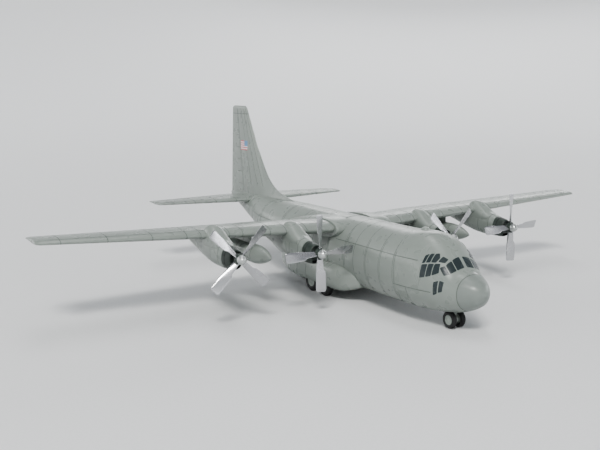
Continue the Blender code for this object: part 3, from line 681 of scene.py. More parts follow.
def pad(side, name):
    """The fairing on the body's flank round the wing root: a full oval, blunt
    in front and drawn out behind, with a rounded rim."""
    points = []
    for x, long, tall in ((0.9, 6.75, 1.20), (1.4, 6.70, 1.19), (1.65, 6.55, 1.17), (1.82, 6.35, 1.145), (1.94, 6.12, 1.115),
                          (2.02, 5.92, 1.085), (2.07, 5.76, 1.06), (2.10, 5.64, 1.035), (PAD_X, 5.52, 1.005)):
        a, b, _ = foil_ring(PAD_CHORD, PAD_THICK, 0.0, 30)
        front = 10.86 + (PAD_LE - 10.86) * (1.20 - tall) / 0.195
        aft = front + a * long / PAD_CHORD
        up = wing_height(WING_ROOT_X, 0.42) + b * tall - (a - 0.4 * PAD_CHORD) * math.sin(WING_INCIDENCE) * 0.6
        points.append(np.stack([np.full_like(a, side * fs(x)), (aft - LENGTH / 2) * SCALE, up * SCALE], axis=1))
    return grid_object(name, np.array(points), [SKIN, LINE])


def build_fuselage():
    for side, name in ((1, "left"), (-1, "right")):
        half = body_half(side, f"fuselage_{name}_moulding")
        combine(half, [sponson(side, f"sponson_{name}"), pad(side, f"wing_pad_{name}")])
        mid = MAIN_GEAR_STATION
        xs = sorted((side * 0.0135, side * 0.0190))
        well = box_object("well", (xs[0], st(mid - 1.62), -0.001), (xs[1], st(mid + 1.62), 0.0120), [DEEP], 0.0004)
        nose = box_object("nose_well", (-0.0042, st(NOSE_GEAR_STATION - 0.62), 0.002),
                          (0.0042, st(NOSE_GEAR_STATION + 0.62), 0.0098), [DEEP], 0.0004)
        half.data.materials.append(DEEP)
        slot = len(half.data.materials) - 1
        for tool in (well, nose):
            tool.data.materials.clear()
            for mat in half.data.materials:
                tool.data.materials.append(mat)
            tool.data.polygons.foreach_set("material_index", [slot] * len(tool.data.polygons))
        combine(half, [well, nose], "DIFFERENCE")
        piece(half, "airframe", "grey_green_plastic", f"fuselage_{name}_half")


def piece(obj, body, slot, *nodes):
    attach(obj, body)
    if nodes:
        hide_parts(*nodes)
    pieces.append(obj)
    return obj


# ---------------------------------------------------------------- prints
def rounded(corners, radius, steps=4):
    """A polygon with its corners rounded off."""
    out = []
    n = len(corners)
    for i in range(n):
        p = Vector(corners[i])
        a = (Vector(corners[i - 1]) - p)
        b = (Vector(corners[(i + 1) % n]) - p)
        r = min(radius, 0.45 * a.length, 0.45 * b.length)
        p0, p1 = p + a.normalized() * r, p + b.normalized() * r
        for k in range(steps + 1):
            t = k / steps
            out.append(((1 - t) ** 2 * p0 + 2 * t * (1 - t) * p + t**2 * p1).to_tuple())
    return out


def denser(outline, step):
    out = []
    for i, p in enumerate(outline):
        q = outline[(i + 1) % len(outline)]
        d = math.hypot(q[0] - p[0], q[1] - p[1])
        n = max(1, int(math.ceil(d / step)))
        out += [(p[0] + (q[0] - p[0]) * k / n, p[1] + (q[1] - p[1]) * k / n) for k in range(n)]
    return out


def print_patch(name, outline, place, mat, lift=0.00003, sink=0.00006, rings=3, step=0.12):
    """A thin printed film over a surface. place(u, v, lift) gives the point."""
    outline = denser(outline, step)
    cu = sum(p[0] for p in outline) / len(outline)
    cv = sum(p[1] for p in outline) / len(outline)
    verts, faces = [], []
    n = len(outline)
    verts.append(place(cu, cv, lift))
    for r in range(1, rings + 1):
        f = r / rings
        for u, v in outline:
            verts.append(place(cu + (u - cu) * f, cv + (v - cv) * f, lift))
    for k in range(n):
        faces.append((0, 1 + k, 1 + (k + 1) % n))
    for r in range(rings - 1):
        for k in range(n):
            a, b = 1 + r * n + k, 1 + r * n + (k + 1) % n
            faces.append((a, a + n, b + n, b))
    top = len(verts)
    verts.append(place(cu, cv, -sink))
    for u, v in outline:
        verts.append(place(u, v, -sink))
    for k in range(n):
        faces.append((top, top + 1 + (k + 1) % n, top + 1 + k))
        a, b = 1 + (rings - 1) * n + k, 1 + (rings - 1) * n + (k + 1) % n
        faces.append((a, top + 1 + k, top + 1 + (k + 1) % n, b))
    return make(name, verts, faces, [mat], None, 40)


def ring_patch(name, cu, cv, r0, r1, place, mat, lift=0.00003, sink=0.00006, count=48):
    """A printed ring over a surface."""
    verts, faces = [], []
    rows = [(r0, -sink), (r0, lift), ((r0 + r1) / 2, lift), (r1, lift), (r1, -sink)]
    for r, h in rows:
        for k in range(count):
            a = 2 * math.pi * k / count
            verts.append(place(cu + r * math.cos(a), cv + r * math.sin(a), h))
    for i in range(len(rows)):
        j = (i + 1) % len(rows)
        for k in range(count):
            n = (k + 1) % count
            faces.append((i * count + k, i * count + n, j * count + n, j * count + k))
    return make(name, verts, faces, [mat], None, 40)


PANES = [  # corners as (station, height) on the side of the nose
    ("upper_1", [(2.48, 3.80), (2.44, 4.03), (2.60, 4.25), (2.735, 4.23), (2.715, 3.79)]),
    ("upper_2", [(2.755, 3.785), (2.775, 4.235), (2.945, 4.21), (2.98, 3.745)]),
    ("upper_3", [(3.02, 3.735), (2.985, 4.20), (3.15, 4.12), (3.18, 3.69)]),
    ("corner_1", [(2.115, 3.80), (2.13, 3.975), (2.39, 4.115), (2.415, 3.845)]),
    ("lower_1", [(2.14, 3.30), (2.27, 3.765), (2.505, 3.74), (2.475, 3.12)]),
    ("lower_2", [(2.515, 3.10), (2.545, 3.735), (2.815, 3.70), (2.815, 3.00)]),
    ("lower_3", [(2.855, 2.985), (2.855, 3.69), (3.17, 3.63), (3.18, 2.90)]),
    ("chin_1", [(1.75, 2.87), (1.985, 2.92), (2.03, 2.25), (1.80, 2.34)]),
    ("chin_2", [(2.055, 2.90), (2.31, 2.80), (2.335, 2.06), (2.095, 2.19)]),
]
SHIELDS = [  # corners as (station, angle) on the sloping front of the cockpit
    ("shield_1", [(1.58, 86.5), (2.06, 87), (2.02, 68.5), (1.565, 66)]),
    ("shield_2", [(1.57, 63.5), (2.01, 66.5), (2.035, 50), (1.65, 45)]),
    ("shield_3", [(1.66, 42.5), (2.05, 47.5), (2.20, 37), (1.86, 30)]),
]


def rivet(foot, over):
    """A tiny round head standing on the skin at foot."""
    r = 0.00011
    up = (over - foot).normalized()
    head = turned("rivet", [(0, r * 0.42), (r * 0.55, r * 0.34), (r * 0.9, r * 0.12), (r, -r * 0.3), (0, -r * 0.3)],
                  [SKIN], (0, 0, 0), "Z", 8)
    head.data.transform(Matrix.Translation(foot) @ Vector((0, 0, 1)).rotation_difference(up).to_matrix().to_4x4())
    return head


def build_prints():
    for side, name in ((1, "left"), (-1, "right")):
        def flank(u, v, lift, side=side):
            return body_spot(side, u, body_angle(u, v), lift)

        def crown(u, v, lift, side=side):
            return body_spot(side, u, math.radians(v), lift)

        def crown_scaled(u, v, lift, side=side):
            return body_spot(side, u, math.radians(v * 60), lift)

        parts = []
        for label, corners in PANES:
            parts.append(print_patch(f"pane_{label}", rounded(corners, 0.05), flank, PANE))
        for label, corners in SHIELDS:
            scaled = [(s, a / 60) for s, a in corners]
            parts.append(print_patch(f"pane_{label}", rounded(scaled, 0.05), crown_scaled, PANE))
        piece(join(f"cockpit_windows_{name}", parts), "airframe", "dark_green_plastic")

        # plain roundel with bars
        cs, cz = 19.75, 3.08
        parts = [ring_patch("ring", cs, cz, 0.365, 0.465, flank, MARK),
                 ring_patch("spot", cs, cz, 0.10, 0.24, flank, MARK)]
        for fore in (-1, 1):
            a, b = sorted((cs + fore * 0.49, cs + fore * 0.88))
            for z0, z1 in ((cz + 0.03, cz + 0.16), (cz - 0.16, cz - 0.03)):
                parts.append(print_patch("bar", [(a, z0), (b, z0), (b, z1), (a, z1)], flank, MARK))
        piece(join(f"roundel_{name}", parts), "airframe", "dark_green_plastic")

        # small round vents low on the side
        parts = []
        for s, z, r in ((5.95, 1.60, 0.055), (7.62, 1.32, 0.045), (8.55, 1.36, 0.04), (7.62, 2.25, 0.03)):
            circle = [(s + r * math.cos(2 * math.pi * k / 14), z + r * math.sin(2 * math.pi * k / 14))
                      for k in range(14)]
            parts.append(print_patch("vent", circle, flank, MARK, 0.00002, 0.00006, 1))
        piece(join(f"vents_{name}", parts), "airframe", "dark_green_plastic")

        # the row of rivets over the upper panel line
        parts = []
        s = 3.62
        while s < 10.9:
            if all(abs(s - f[0]) > 0.045 for f in FRAMES):
                parts.append(rivet(body_spot(side, s, body_angle(s, curve_at(LINE_HIGH, s) + 0.075), 0.0),
                                   body_spot(side, s, body_angle(s, curve_at(LINE_HIGH, s) + 0.075), 0.001)))
            s += 0.115
        piece(join(f"rivets_{name}", parts), "airframe", "grey_green_plastic")

        # boarding-step ribs on the lower half of the crew door
        parts = []
        for n, (s0, s1) in enumerate(((4.42, 4.42), (4.56, 4.56), (4.70, 4.70), (4.84, 4.94), (4.98, 5.12))):
            rib = [(s0 - 0.018, 1.86), (s0 + 0.018, 1.86), (s1 + 0.018, 1.28), (s1 - 0.018, 1.28)]
            parts.append(print_patch("rib", rib, flank, SKIN, 0.00009, 0.00006, 1))
        piece(join(f"door_ribs_{name}", parts), "airframe", "grey_green_plastic")

    # low glazed dome on the cabin roof
    s = 5.02
    base = fs(curve_at(TOP_LINE, s))
    r = fs(0.27)
    rows = [(0, r * 0.60), (r * 0.20, r * 0.59), (r * 0.40, r * 0.545), (r * 0.60, r * 0.46), (r * 0.76, r * 0.34),
            (r * 0.88, r * 0.20), (r * 0.95, r * 0.06), (r * 0.97, -r * 0.02), (r * 1.10, -r * 0.04), (r * 1.16, -r * 0.09),
            (r * 1.16, -r * 0.6), (0, -r * 0.6)]
    piece(turned("roof_dome", rows, [SKIN], (0, st(s), base), "Z", 40), "airframe", "grey_green_plastic")


# ---------------------------------------------------------------- wings
WING_ROWS = [3.06, 4.15, 5.60, 6.65, 8.45, 9.30, 11.05, 11.9, 13.9, 16.4, 18.9]
WING_TOP_LINES = [0.115, 0.42, 0.700, 0.716]
WING_LOW_LINES = [0.115, 0.700, 0.716]


def wing(side, name):
    tip = SPAN / 2
    base = spaced([(WING_ROOT_X, 6.0, 0.3), (6.0, 19.8, 0.42), (19.8, 20.06, 0.07)])
    base = base[:-1] + [20.06, 20.11, 20.15, 20.18, 20.20, tip]
    rows = with_lines(base, WING_ROWS)
    points, depth = [], []
    for x, mark in rows:
        lead, chord, height, thick, twist = wing_section(min(x, tip))
        d = tip - x
        g = 1.0 if d > 0.30 else math.sqrt(max(0.0, 1 - ((0.30 - d) / 0.30) ** 2))
        fc, ft = 0.74 + 0.26 * g, 0.14 + 0.86 * g
        a, b, tags = foil_ring(chord, thick, 0.022, 26, WING_TOP_LINES, WING_LOW_LINES)
        a = (a - 0.4 * chord) * fc
        b = b * ft
        aft = lead + 0.4 * chord + a * math.cos(twist) + b * math.sin(twist)
        up = height + b * math.cos(twist) - a * math.sin(twist)
        points.append(np.stack([np.full_like(a, side * fs(x)), (aft - LENGTH / 2) * SCALE, up * SCALE], axis=1))
        dd = np.zeros(len(a))
        for j, t in enumerate(tags):
            if t == 0 or d < 0.25:
                continue
            if t > 0:
                line = WING_TOP_LINES[t - 1]
            else:
                line = WING_LOW_LINES[-t - 1]
            if line < 0.2:
                on = 2.6 < x < 19.3
            elif line == 0.42:
                on = 2.6 < x < 13.9
            else:
                on = 2.5 < x < 19.3
            if on:
                dd[j] = GROOVE_DEPTH
        if mark >= 0:
            station = WING_ROWS[mark]
            xc = (a / fc + 0.4 * chord) / chord
            if station in (13.9, 18.9):
                on = xc > -1
            else:
                on = xc < 0.98
            dd = np.where(on, np.maximum(dd, GROOVE_DEPTH * 0.9), dd)
            dd[(xc < 0.004)] = GROOVE_DEPTH * 0.5
        points_ok = dd
        depth.append(points_ok)
    return grid_object(name, np.array(points), [SKIN, LINE, DEEP], np.array(depth))


NACELLE_ROWS = [  # station, half width, top and bottom over the thrust line
    (9.60, 0.56, 0.58, -0.745), (10.2, 0.595, 0.72, -0.77), (10.9, 0.61, 0.86, -0.75), (11.5, 0.60, 0.92, -0.69),
    (12.0, 0.57, 0.92, -0.61), (12.6, 0.52, 0.90, -0.49), (13.2, 0.46, 0.82, -0.34), (14.2, 0.37, 0.68, -0.10),
    (15.3, 0.22, 0.50, 0.18)]


def nacelle(side, name, x):
    base = ENGINE_Z + math.tan(WING_DIHEDRAL) * (x - ENGINE_INBOARD_X)
    lines = [10.02, 10.95]
    rows = with_lines(spaced([(9.60, 12.6, 0.15), (12.6, 15.3, 0.2)]), lines)
    points, depth = [], []
    for s, mark in rows:
        hw = curve_at([(r[0], r[1]) for r in NACELLE_ROWS], s)
        hi = curve_at([(r[0], r[2]) for r in NACELLE_ROWS], s)
        lo = curve_at([(r[0], r[3]) for r in NACELLE_ROWS], s)
        points.append(oval(side * fs(x), fs(base + (hi + lo) / 2), fs(hw), fs((hi - lo) / 2), st(s), 2.3, 48))
        depth.append(np.full(48, GROOVE_DEPTH if mark >= 0 else 0.0))
    keel = grid_object(name, np.array(points), [SKIN, LINE, DEEP], np.array(depth))
    # the barrel's round back, ending on the wing's upper skin
    points = []
    for s in spaced([(10.1, 11.5, 0.14), (11.5, 12.36, 0.05)])[:-1] + [12.35, 12.38]:
        u = min(1.0, max(0.0, (s - 11.75) / 0.64))
        end = math.sqrt(max(0.0, 1 - u * u))
        hw = curve_at([(10.1, 0.54), (10.6, 0.592), (11.2, 0.612), (12.4, 0.60)], s)
        top = curve_at([(10.1, 0.62), (10.5, 0.80), (11.0, 1.10), (11.5, 1.37), (11.9, 1.45), (12.4, 1.46)], s)
        mid, count = 0.42, 56
        ang = 2 * np.pi * np.arange(count) / count
        c, sn = np.cos(ang), np.sin(ang)
        up = (top - mid) * (0.30 + 0.70 * end)
        height = np.where(sn >= 0, up, 0.30)
        wide = hw * (0.12 + 0.88 * end) * np.where(sn >= 0, 1.0, 1.0)
        points.append(np.stack([
            side * fs(x) + fs(wide * np.sign(c) * np.abs(c) ** (2 / 2.9)), np.full(count, st(s)),
            fs(base + mid + height * np.sign(sn) * np.abs(sn) ** (2 / 2.5))], axis=1))
    barrel = grid_object(name + "_back", np.array(points), [SKIN, LINE, DEEP])
    # the exhaust's dark mouth at the tail of the cowling
    mouth = []
    for s in (14.75, 15.5):
        mouth.append(oval(side * fs(x), fs(base + 0.30), fs(0.16), fs(0.10), st(s), 2.0, 24))
    mouth = grid_object(name + "_mouth", np.array(mouth), [SKIN, LINE, DEEP], base=2)
    return keel, barrel, mouth


def build_wings():
    for side, name in ((1, "left"), (-1, "right")):
        panel = wing(side, f"wing_{name}_moulding")
        joins, cuts = [], []
        for x, place in ((ENGINE_INBOARD_X, "inboard"), (ENGINE_OUTBOARD_X, "outboard")):
            keel, barrel, mouth = nacelle(side, f"nacelle_{name}_{place}", x)
            joins += [keel, barrel]
            cuts.append(mouth)
        combine(panel, joins)
        combine(panel, cuts, "DIFFERENCE")
        piece(panel, "airframe", "grey_green_plastic", f"wing_{name}")


def build_engines():
    places = ((1, 1, ENGINE_OUTBOARD_X), (2, 1, ENGINE_INBOARD_X),
              (3, -1, ENGINE_INBOARD_X), (4, -1, ENGINE_OUTBOARD_X))
    for number, side, x in places:
        base = ENGINE_Z + math.tan(WING_DIHEDRAL) * (x - ENGINE_INBOARD_X)
        cx, cz = side * fs(x), fs(base)
        rows = [  # station, half width, top, bottom
            (8.985, 0.20, 0.21, -0.21), (8.965, 0.30, 0.31, -0.31), (8.955, 0.335, 0.345, -0.345),
            (8.875, 0.345, 0.355, -0.375), (8.848, 0.365, 0.378, -0.44), (8.842, 0.385, 0.398, -0.52),
            (8.865, 0.412, 0.425, -0.60), (8.92, 0.440, 0.452, -0.662), (9.02, 0.468, 0.482, -0.708),
            (9.15, 0.494, 0.508, -0.732), (9.30, 0.516, 0.530, -0.742), (9.322, 0.518, 0.532, -0.743),
            (9.344, 0.521, 0.536, -0.744), (9.45, 0.535, 0.552, -0.746), (9.585, 0.548, 0.566, -0.747),
            (9.593, 0.544, 0.562, -0.743)]
        points, depth = [], []
        for s, hw, hi, lo in rows:
            points.append(oval(cx, fs(base + (hi + lo) / 2), fs(hw), fs((hi - lo) / 2), st(s), 2.15, 48))
            depth.append(np.full(48, GROOVE_DEPTH if s == 9.322 else 0.0))
        cowl = grid_object(f"engine_front_{number}_cowl", np.array(points), [DARK, DEEP], np.array(depth))
        scoop = []
        for s in (8.7, 9.0, 9.22):
            scoop.append(oval(cx, fs(base - 0.545), fs(0.25), fs(0.085), st(s), 3.2, 28))
        scoop = grid_object("scoop", np.array(scoop), [DARK, DEEP], base=1)
        bore = turned("bore", [(0, -0.0001), (SHAFT_RADIUS + 0.00008, -0.0001), (SHAFT_RADIUS + 0.00008, 0.0043),
                               (0, 0.0043)], [DARK, DEEP], (cx, st(8.90), cz), "Y", 24)
        bore.data.polygons.foreach_set("material_index", [1] * len(bore.data.polygons))
        bore.data.transform(Matrix.Translation((0, -0.0008, 0)))
        combine(cowl, [scoop, bore], "DIFFERENCE")
        piece(cowl, "airframe", "dark_green_plastic", f"engine_front_{number}")

        centre = Vector((cx, st(PROP_STATION), cz))
        piece(propeller(number, centre), f"propeller_{number}", "silver_plastic", f"propeller_{number}")


def blade(name, centre, turn0):
    """A blade with a straight leading edge, whose trailing edge steps out to
    the paddle part, square at the tip with softened corners."""
    radius = fs(PROP_DIAMETER / 2)
    rows = [  # fraction of radius, leading edge, trailing edge, thickness, twist
        (0.085, 0.17, -0.17, 0.17, 62), (0.13, 0.18, -0.18, 0.15, 57), (0.20, 0.19, -0.19, 0.135, 50),
        (0.28, 0.20, -0.20, 0.125, 45), (0.36, 0.205, -0.205, 0.115, 40), (0.40, 0.208, -0.215, 0.112, 38),
        (0.435, 0.21, -0.26, 0.11, 36), (0.47, 0.213, -0.315, 0.108, 35), (0.52, 0.218, -0.335, 0.104, 33),
        (0.60, 0.225, -0.345, 0.10, 30), (0.70, 0.23, -0.352, 0.094, 27), (0.80, 0.232, -0.356, 0.088, 24),
        (0.88, 0.232, -0.358, 0.082, 22), (0.935, 0.230, -0.356, 0.076, 20.5), (0.965, 0.222, -0.348, 0.072, 20),
        (0.985, 0.205, -0.331, 0.066, 19.5), (0.996, 0.17, -0.296, 0.055, 19), (1.0, 0.12, -0.246, 0.035, 19)]
    count = 20
    points = []
    for f, lead, trail, thick, twist in rows:
        t = math.radians(twist)
        ring = []
        for k in range(count):
            a = 2 * math.pi * k / count
            u = (lead + trail) / 2 + (lead - trail) / 2 * math.cos(a)
            body = (1 + 0.35 * math.cos(a)) * math.sin(a)
            v = thick / 2 * body + 0.02 * (1 - math.cos(a) ** 2)
            ring.append((fs(u * math.cos(t) - v * math.sin(t)), fs(u * math.sin(t) + v * math.cos(t)), radius * f))
        points.append(ring)
    obj = grid_object(name, np.array(points), [SILVER, DOME, DARK], sharp=40)
    obj.data.transform(Matrix.Translation(centre) @ Matrix.Rotation(turn0, 4, "Y"))
    return obj


def propeller(number, centre):
    profile = [  # radius, distance forward of the blades, material
        (0.0, -fs(0.20), 2), (fs(0.255), -fs(0.20), 2), (fs(0.275), -fs(0.18), 2), (fs(0.295), -fs(0.13), 2),
        (fs(0.30), -fs(0.08), 2), (fs(0.30), fs(0.12), 2), (fs(0.292), fs(0.17), 2), (fs(0.270), fs(0.195), 1),
        (fs(0.268), fs(0.24), 1), (fs(0.262), fs(0.30), 1), (fs(0.245), fs(0.36), 1), (fs(0.215), fs(0.425), 1),
        (fs(0.175), fs(0.48), 1), (fs(0.125), fs(0.525), 1), (fs(0.065), fs(0.555), 1), (0.0, fs(0.565), 1)]
    hub = turned(f"propeller_{number}_moulding", profile, [SILVER, DOME, DARK], centre, "-Y", 40)
    turn0 = 0.0 if number in (1, 3) else math.pi / 4
    tools = [blade(f"blade_{number}_{k}", centre, turn0 + k * math.pi / 2) for k in range(4)]
    for k in range(4):
        cuff = turned(f"cuff_{number}_{k}", [
            (0, fs(0.10), 2), (fs(0.135), fs(0.10), 2), (fs(0.135), fs(0.335), 2), (fs(0.120), fs(0.352), 2), (0, fs(0.352), 2)],
            [SILVER, DOME, DARK], (0, 0, 0), "Z", 24)
        cuff.data.transform(Matrix.Translation(centre) @ Matrix.Rotation(turn0 + k * math.pi / 2, 4, "Y"))
        tools.append(cuff)
    shaft = turned(f"shaft_{number}", [(0, fs(0.10)), (SHAFT_RADIUS, fs(0.10)), (SHAFT_RADIUS, 0.0062), (0, 0.0062)],
                   [SILVER, DOME, DARK], centre, "Y", 20)
    tools.append(shaft)
    return combine(hub, tools, sharp=35)


def build_tanks():
    for side, name in ((1, "left"), (-1, "right")):
        z = WING_ROOT_Z + math.tan(WING_DIHEDRAL) * TANK_X - TANK_DROP
        lines = [11.2, 13.1, 15.2]
        base = [TANK_NOSE + TANK_LENGTH * u for u in
                [0.0015, 0.004, 0.009, 0.016, 0.025, 0.036, 0.05, 0.066, 0.085, 0.11, 0.14, 0.17, 0.2, 0.24]
                + [0.24 + 0.04 * k for k in range(1, 17)] + [0.91, 0.94, 0.965, 0.983, 0.994, 0.999]]
        rows = with_lines(base, lines)
        points, depth = [], []
        for s, mark in rows:
            u = (s - TANK_NOSE) / TANK_LENGTH
            r = TANK_RADIUS * min(1.0, (math.sin(math.pi / 2 * min(1.0, u / 0.24)) ** 0.75 if u < 0.24 else
                                        math.cos(math.pi / 2 * max(0.0, (u - 0.58) / 0.42)) ** 0.8))
            r = max(r, 0.02)
            points.append(oval(side * fs(TANK_X), fs(z), fs(r), fs(r), st(s), 2.0, 48))
            depth.append(np.full(48, GROOVE_DEPTH if mark >= 0 else 0.0))
        tank = grid_object(f"drop_tank_{name}_moulding", np.array(points), [SKIN, LINE], np.array(depth))
        lead, chord, height, thick, twist = wing_section(TANK_X)
        ring = []
        for up, shrink in ((z + 0.15, 1.02), (z + 0.55, 1.0), (z + 0.98, 0.95)):
            a, b, _ = foil_ring(2.9 * shrink, 0.075, 0.0, 18)
            ring.append(np.stack([side * fs(TANK_X) + fs(b), (lead + 0.7 + a - LENGTH / 2) * SCALE,
                                  np.full_like(a, fs(up))], axis=1))
        pylon = grid_object(f"pylon_{name}", np.array(ring), [SKIN, LINE])
        combine(tank, [pylon])
        piece(tank, "airframe", "grey_green_plastic", f"drop_tank_{name}")


# ---------------------------------------------------------------- tail
def tail_surface(name, rows, section, place, top_lines, masks, row_mask, tip_at, tip_run):
    points, depth = [], []
    for v, mark in rows:
        lead, chord, thick = section(v)
        d = tip_at - v
        g = 1.0 if d > tip_run else math.sqrt(max(0.0, 1 - ((tip_run - d) / tip_run) ** 2))
        fc, ft = 0.76 + 0.24 * g, 0.14 + 0.86 * g
        a, b, tags = foil_ring(chord, thick, 0.0, 22, top_lines, top_lines)
        xc = a / chord
        a = (a - 0.4 * chord) * fc + 0.4 * chord
        points.append(place(v, lead + a, b * ft))
        dd = np.zeros(len(a))
        for j, t in enumerate(tags):
            if t and d > tip_run * 0.9 and masks(top_lines[abs(t) - 1], v):
                dd[j] = GROOVE_DEPTH
        if mark >= 0:
            on = row_mask(mark, xc)
            dd = np.where(on, np.maximum(dd, GROOVE_DEPTH * 0.9), dd)
        depth.append(dd)
    return grid_object(name, np.array(points), [SKIN, LINE], np.array(depth))


def fin_section(z):
    t = (z - FIN_ROOT_Z) / (HEIGHT - FIN_ROOT_Z)
    return FIN_ROOT_LE + (FIN_TIP_LE - FIN_ROOT_LE) * t, FIN_ROOT_CHORD + (FIN_TIP_CHORD - FIN_ROOT_CHORD) * t, 0.095


HINGE = 0.605


def build_tail():
    def stab_section(x):
        t = (x - STAB_ROOT_X) / (STAB_HALF_SPAN - STAB_ROOT_X)
        chord = STAB_ROOT_CHORD + (STAB_TIP_CHORD - STAB_ROOT_CHORD) * t
        return STAB_LE + (STAB_ROOT_CHORD - chord) * 0.55, chord, 0.115 - 0.02 * t

    for side, name in ((1, "left"), (-1, "right")):
        def place(x, aft, up, side=side):
            return np.stack([np.full_like(aft, side * fs(x)), (aft - LENGTH / 2) * SCALE, fs(STAB_Z) + up * SCALE], axis=1)
        base = spaced([(STAB_ROOT_X, 7.7, 0.3), (7.7, 7.9, 0.05)])[:-1] + [7.9, 7.95, 7.985, 8.01, STAB_HALF_SPAN]
        rows = with_lines(base, [2.1, 3.7, 5.3, 6.9])
        obj = tail_surface(f"stabiliser_{name}_moulding", rows, stab_section, place, [0.11, 0.665, 0.690],
                           lambda line, x: 1.9 < x < 7.6, lambda mark, xc: xc < 0.97, STAB_HALF_SPAN, 0.24)
        piece(obj, "airframe", "grey_green_plastic", f"stabiliser_{name}")

    def place(z, aft, out):
        return np.stack([out * SCALE, (aft - LENGTH / 2) * SCALE, np.full_like(aft, fs(z))], axis=1)

    base = spaced([(FIN_ROOT_Z, 11.3, 0.3), (11.3, 11.5, 0.05)])[:-1] + [11.5, 11.56, 11.60, 11.63, HEIGHT - 0.012, HEIGHT]
    ticks = [5.55, 6.5, 7.45, 8.4, 9.35, 10.3, 11.05]
    rows = with_lines(base, ticks)
    fin = tail_surface("tail_fin_moulding", rows, fin_section, place, [0.075, 0.20, 0.36, HINGE, HINGE + 0.026],
                       lambda line, z: z > (5.2 if line > 0.5 else 5.9),
                       lambda mark, xc: (xc > HINGE + 0.03) & (xc < HINGE + 0.14) if mark < 6 else xc < 0.97,
                       HEIGHT, 0.26)
    # the long fillet ahead of the fin
    crest = [(18.6, 4.90), (19.6, 5.02), (20.6, 5.15), (21.6, 5.35), (22.4, 5.62), (23.0, 5.95), (23.6, 6.43),
             (24.1, 7.01), (24.55, 7.60), (24.95, 8.14), (25.3, 8.60), (25.65, 9.04)]
    wide = [(18.6, 0.03), (20.0, 0.10), (22.0, 0.19), (23.4, 0.25), (24.4, 0.23), (25.0, 0.17), (25.65, 0.10)]
    points = []
    for s in spaced([(18.6, 25.65, 0.14)]):
        top, half = curve_at(crest, s), curve_at(wide, s)
        ring = []
        for k in range(13):
            q = k / 12
            ring.append((fs(half * (1 - q) ** 1.7 + 0.028), st(s), fs(4.70 + (top - 4.70) * (1 - (1 - q) ** 1.4))))
        points.append(ring + [(-x, y, z) for x, y, z in ring[::-1]])
    fillet = grid_object("fillet", np.array(points), [SKIN, LINE])
    combine(fin, [fillet])
    piece(fin, "airframe", "grey_green_plastic", "tail_fin")

    # striped patch ahead of the rudder hinge, plain corner panel forward
    for side, name in ((1, "left"), (-1, "right")):
        def flank(u, v, lift, side=side):
            lead, chord, thick = fin_section(v)
            x = np.array([min(0.98, max(0.02, (u - lead) / chord))])
            half = float(foil_half(x, thick)[0]) * chord
            return Vector((side * (fs(half) + lift), st(u), fs(v)))
        s0, z0, w, h = 26.58, 8.22, 1.17, 0.74
        parts = []
        for k in range(9):
            a, b = z0 + h * k / 9, z0 + h * (k + 1) / 9
            start = s0 + (0.46 * w if k >= 4 else 0.0)
            parts.append(print_patch("stripe", [(start, a), (s0 + w, a), (s0 + w, b), (start, b)], flank,
                                     RED if k % 2 == 0 else WHITE, 0.00003, 0.00004, 1, 0.2))
        parts.append(print_patch("panel", [(s0, z0 + h * 4 / 9), (s0 + 0.46 * w, z0 + h * 4 / 9),
                                           (s0 + 0.46 * w, z0 + h), (s0, z0 + h)], flank, BLUE, 0.00003, 0.00004, 2, 0.2))
        piece(join(f"fin_patch_{name}", parts), "airframe", "silver_plastic")


# ---------------------------------------------------------------- gear
def tyre_profile(radius, width, bore, grooves):
    """Tyre and rim, from the inner side to the outer side."""
    r, h = radius, width / 2
    rows = [(bore, -h * 0.72, 1), (0.30 * r, -h * 0.72, 1), (0.32 * r, -h * 0.62, 1), (0.47 * r, -h * 0.56, 1),
            (0.50 * r, -h * 0.74, 1), (0.545 * r, -h * 0.78, 1), (0.56 * r, -h * 0.74, 0), (0.60 * r, -h * 0.88, 0),
            (0.70 * r, -h * 0.985, 0), (0.80 * r, -h * 0.97, 0), (0.885 * r, -h * 0.85, 0), (0.95 * r, -h * 0.64, 0),
            (0.985 * r, -h * 0.45, 0)]
    depth = 0.028 * r
    for g in grooves:
        w = 0.05 * width
        rows += [(r - 0.004 * r * abs(g) * 3, g * h - w, 0), (r - depth, g * h - w * 0.6, 0),
                 (r - depth, g * h + w * 0.6, 0), (r - 0.004 * r * abs(g) * 3, g * h + w, 0)]
    mirrored = [(a, -b, m) for a, b, m in rows[:13][::-1]]
    fixed = []
    for i, (a, b, m) in enumerate(mirrored):
        mat = mirrored[i + 1][2] if i + 1 < len(mirrored) else 1
        fixed.append((a, b, mat))
    rows += fixed
    return rows


def wheel(name, centre, radius, width, bore, body, node, grooves, bolts, outer):
    tyre = turned(name, tyre_profile(radius, width, bore, grooves), [TYRE, RIM, DEEP], centre, "X", 72, sharp=32)
    tools = []
    for k in range(bolts):
        a = 2 * math.pi * k / bolts
        for sgn in (-1, 1):
            r = 0.395 * radius
            p = Vector(centre) + Vector((0, r * math.cos(a), r * math.sin(a)))
            start = p + Vector((sgn * width * 0.5 * 0.45, 0, 0))
            end = p + Vector((sgn * width * 0.5 * 0.68, 0, 0))
            tools.append(rod("bolt", start, end, 0.040 * radius, [TYRE, RIM, DEEP], 10, 0.01 * radius))
            tools[-1].data.polygons.foreach_set("material_index", [1] * len(tools[-1].data.polygons))
    obj = join(name + "_wheel", [tyre] + tools)
    return piece(obj, body, "wheel_plastic", node)


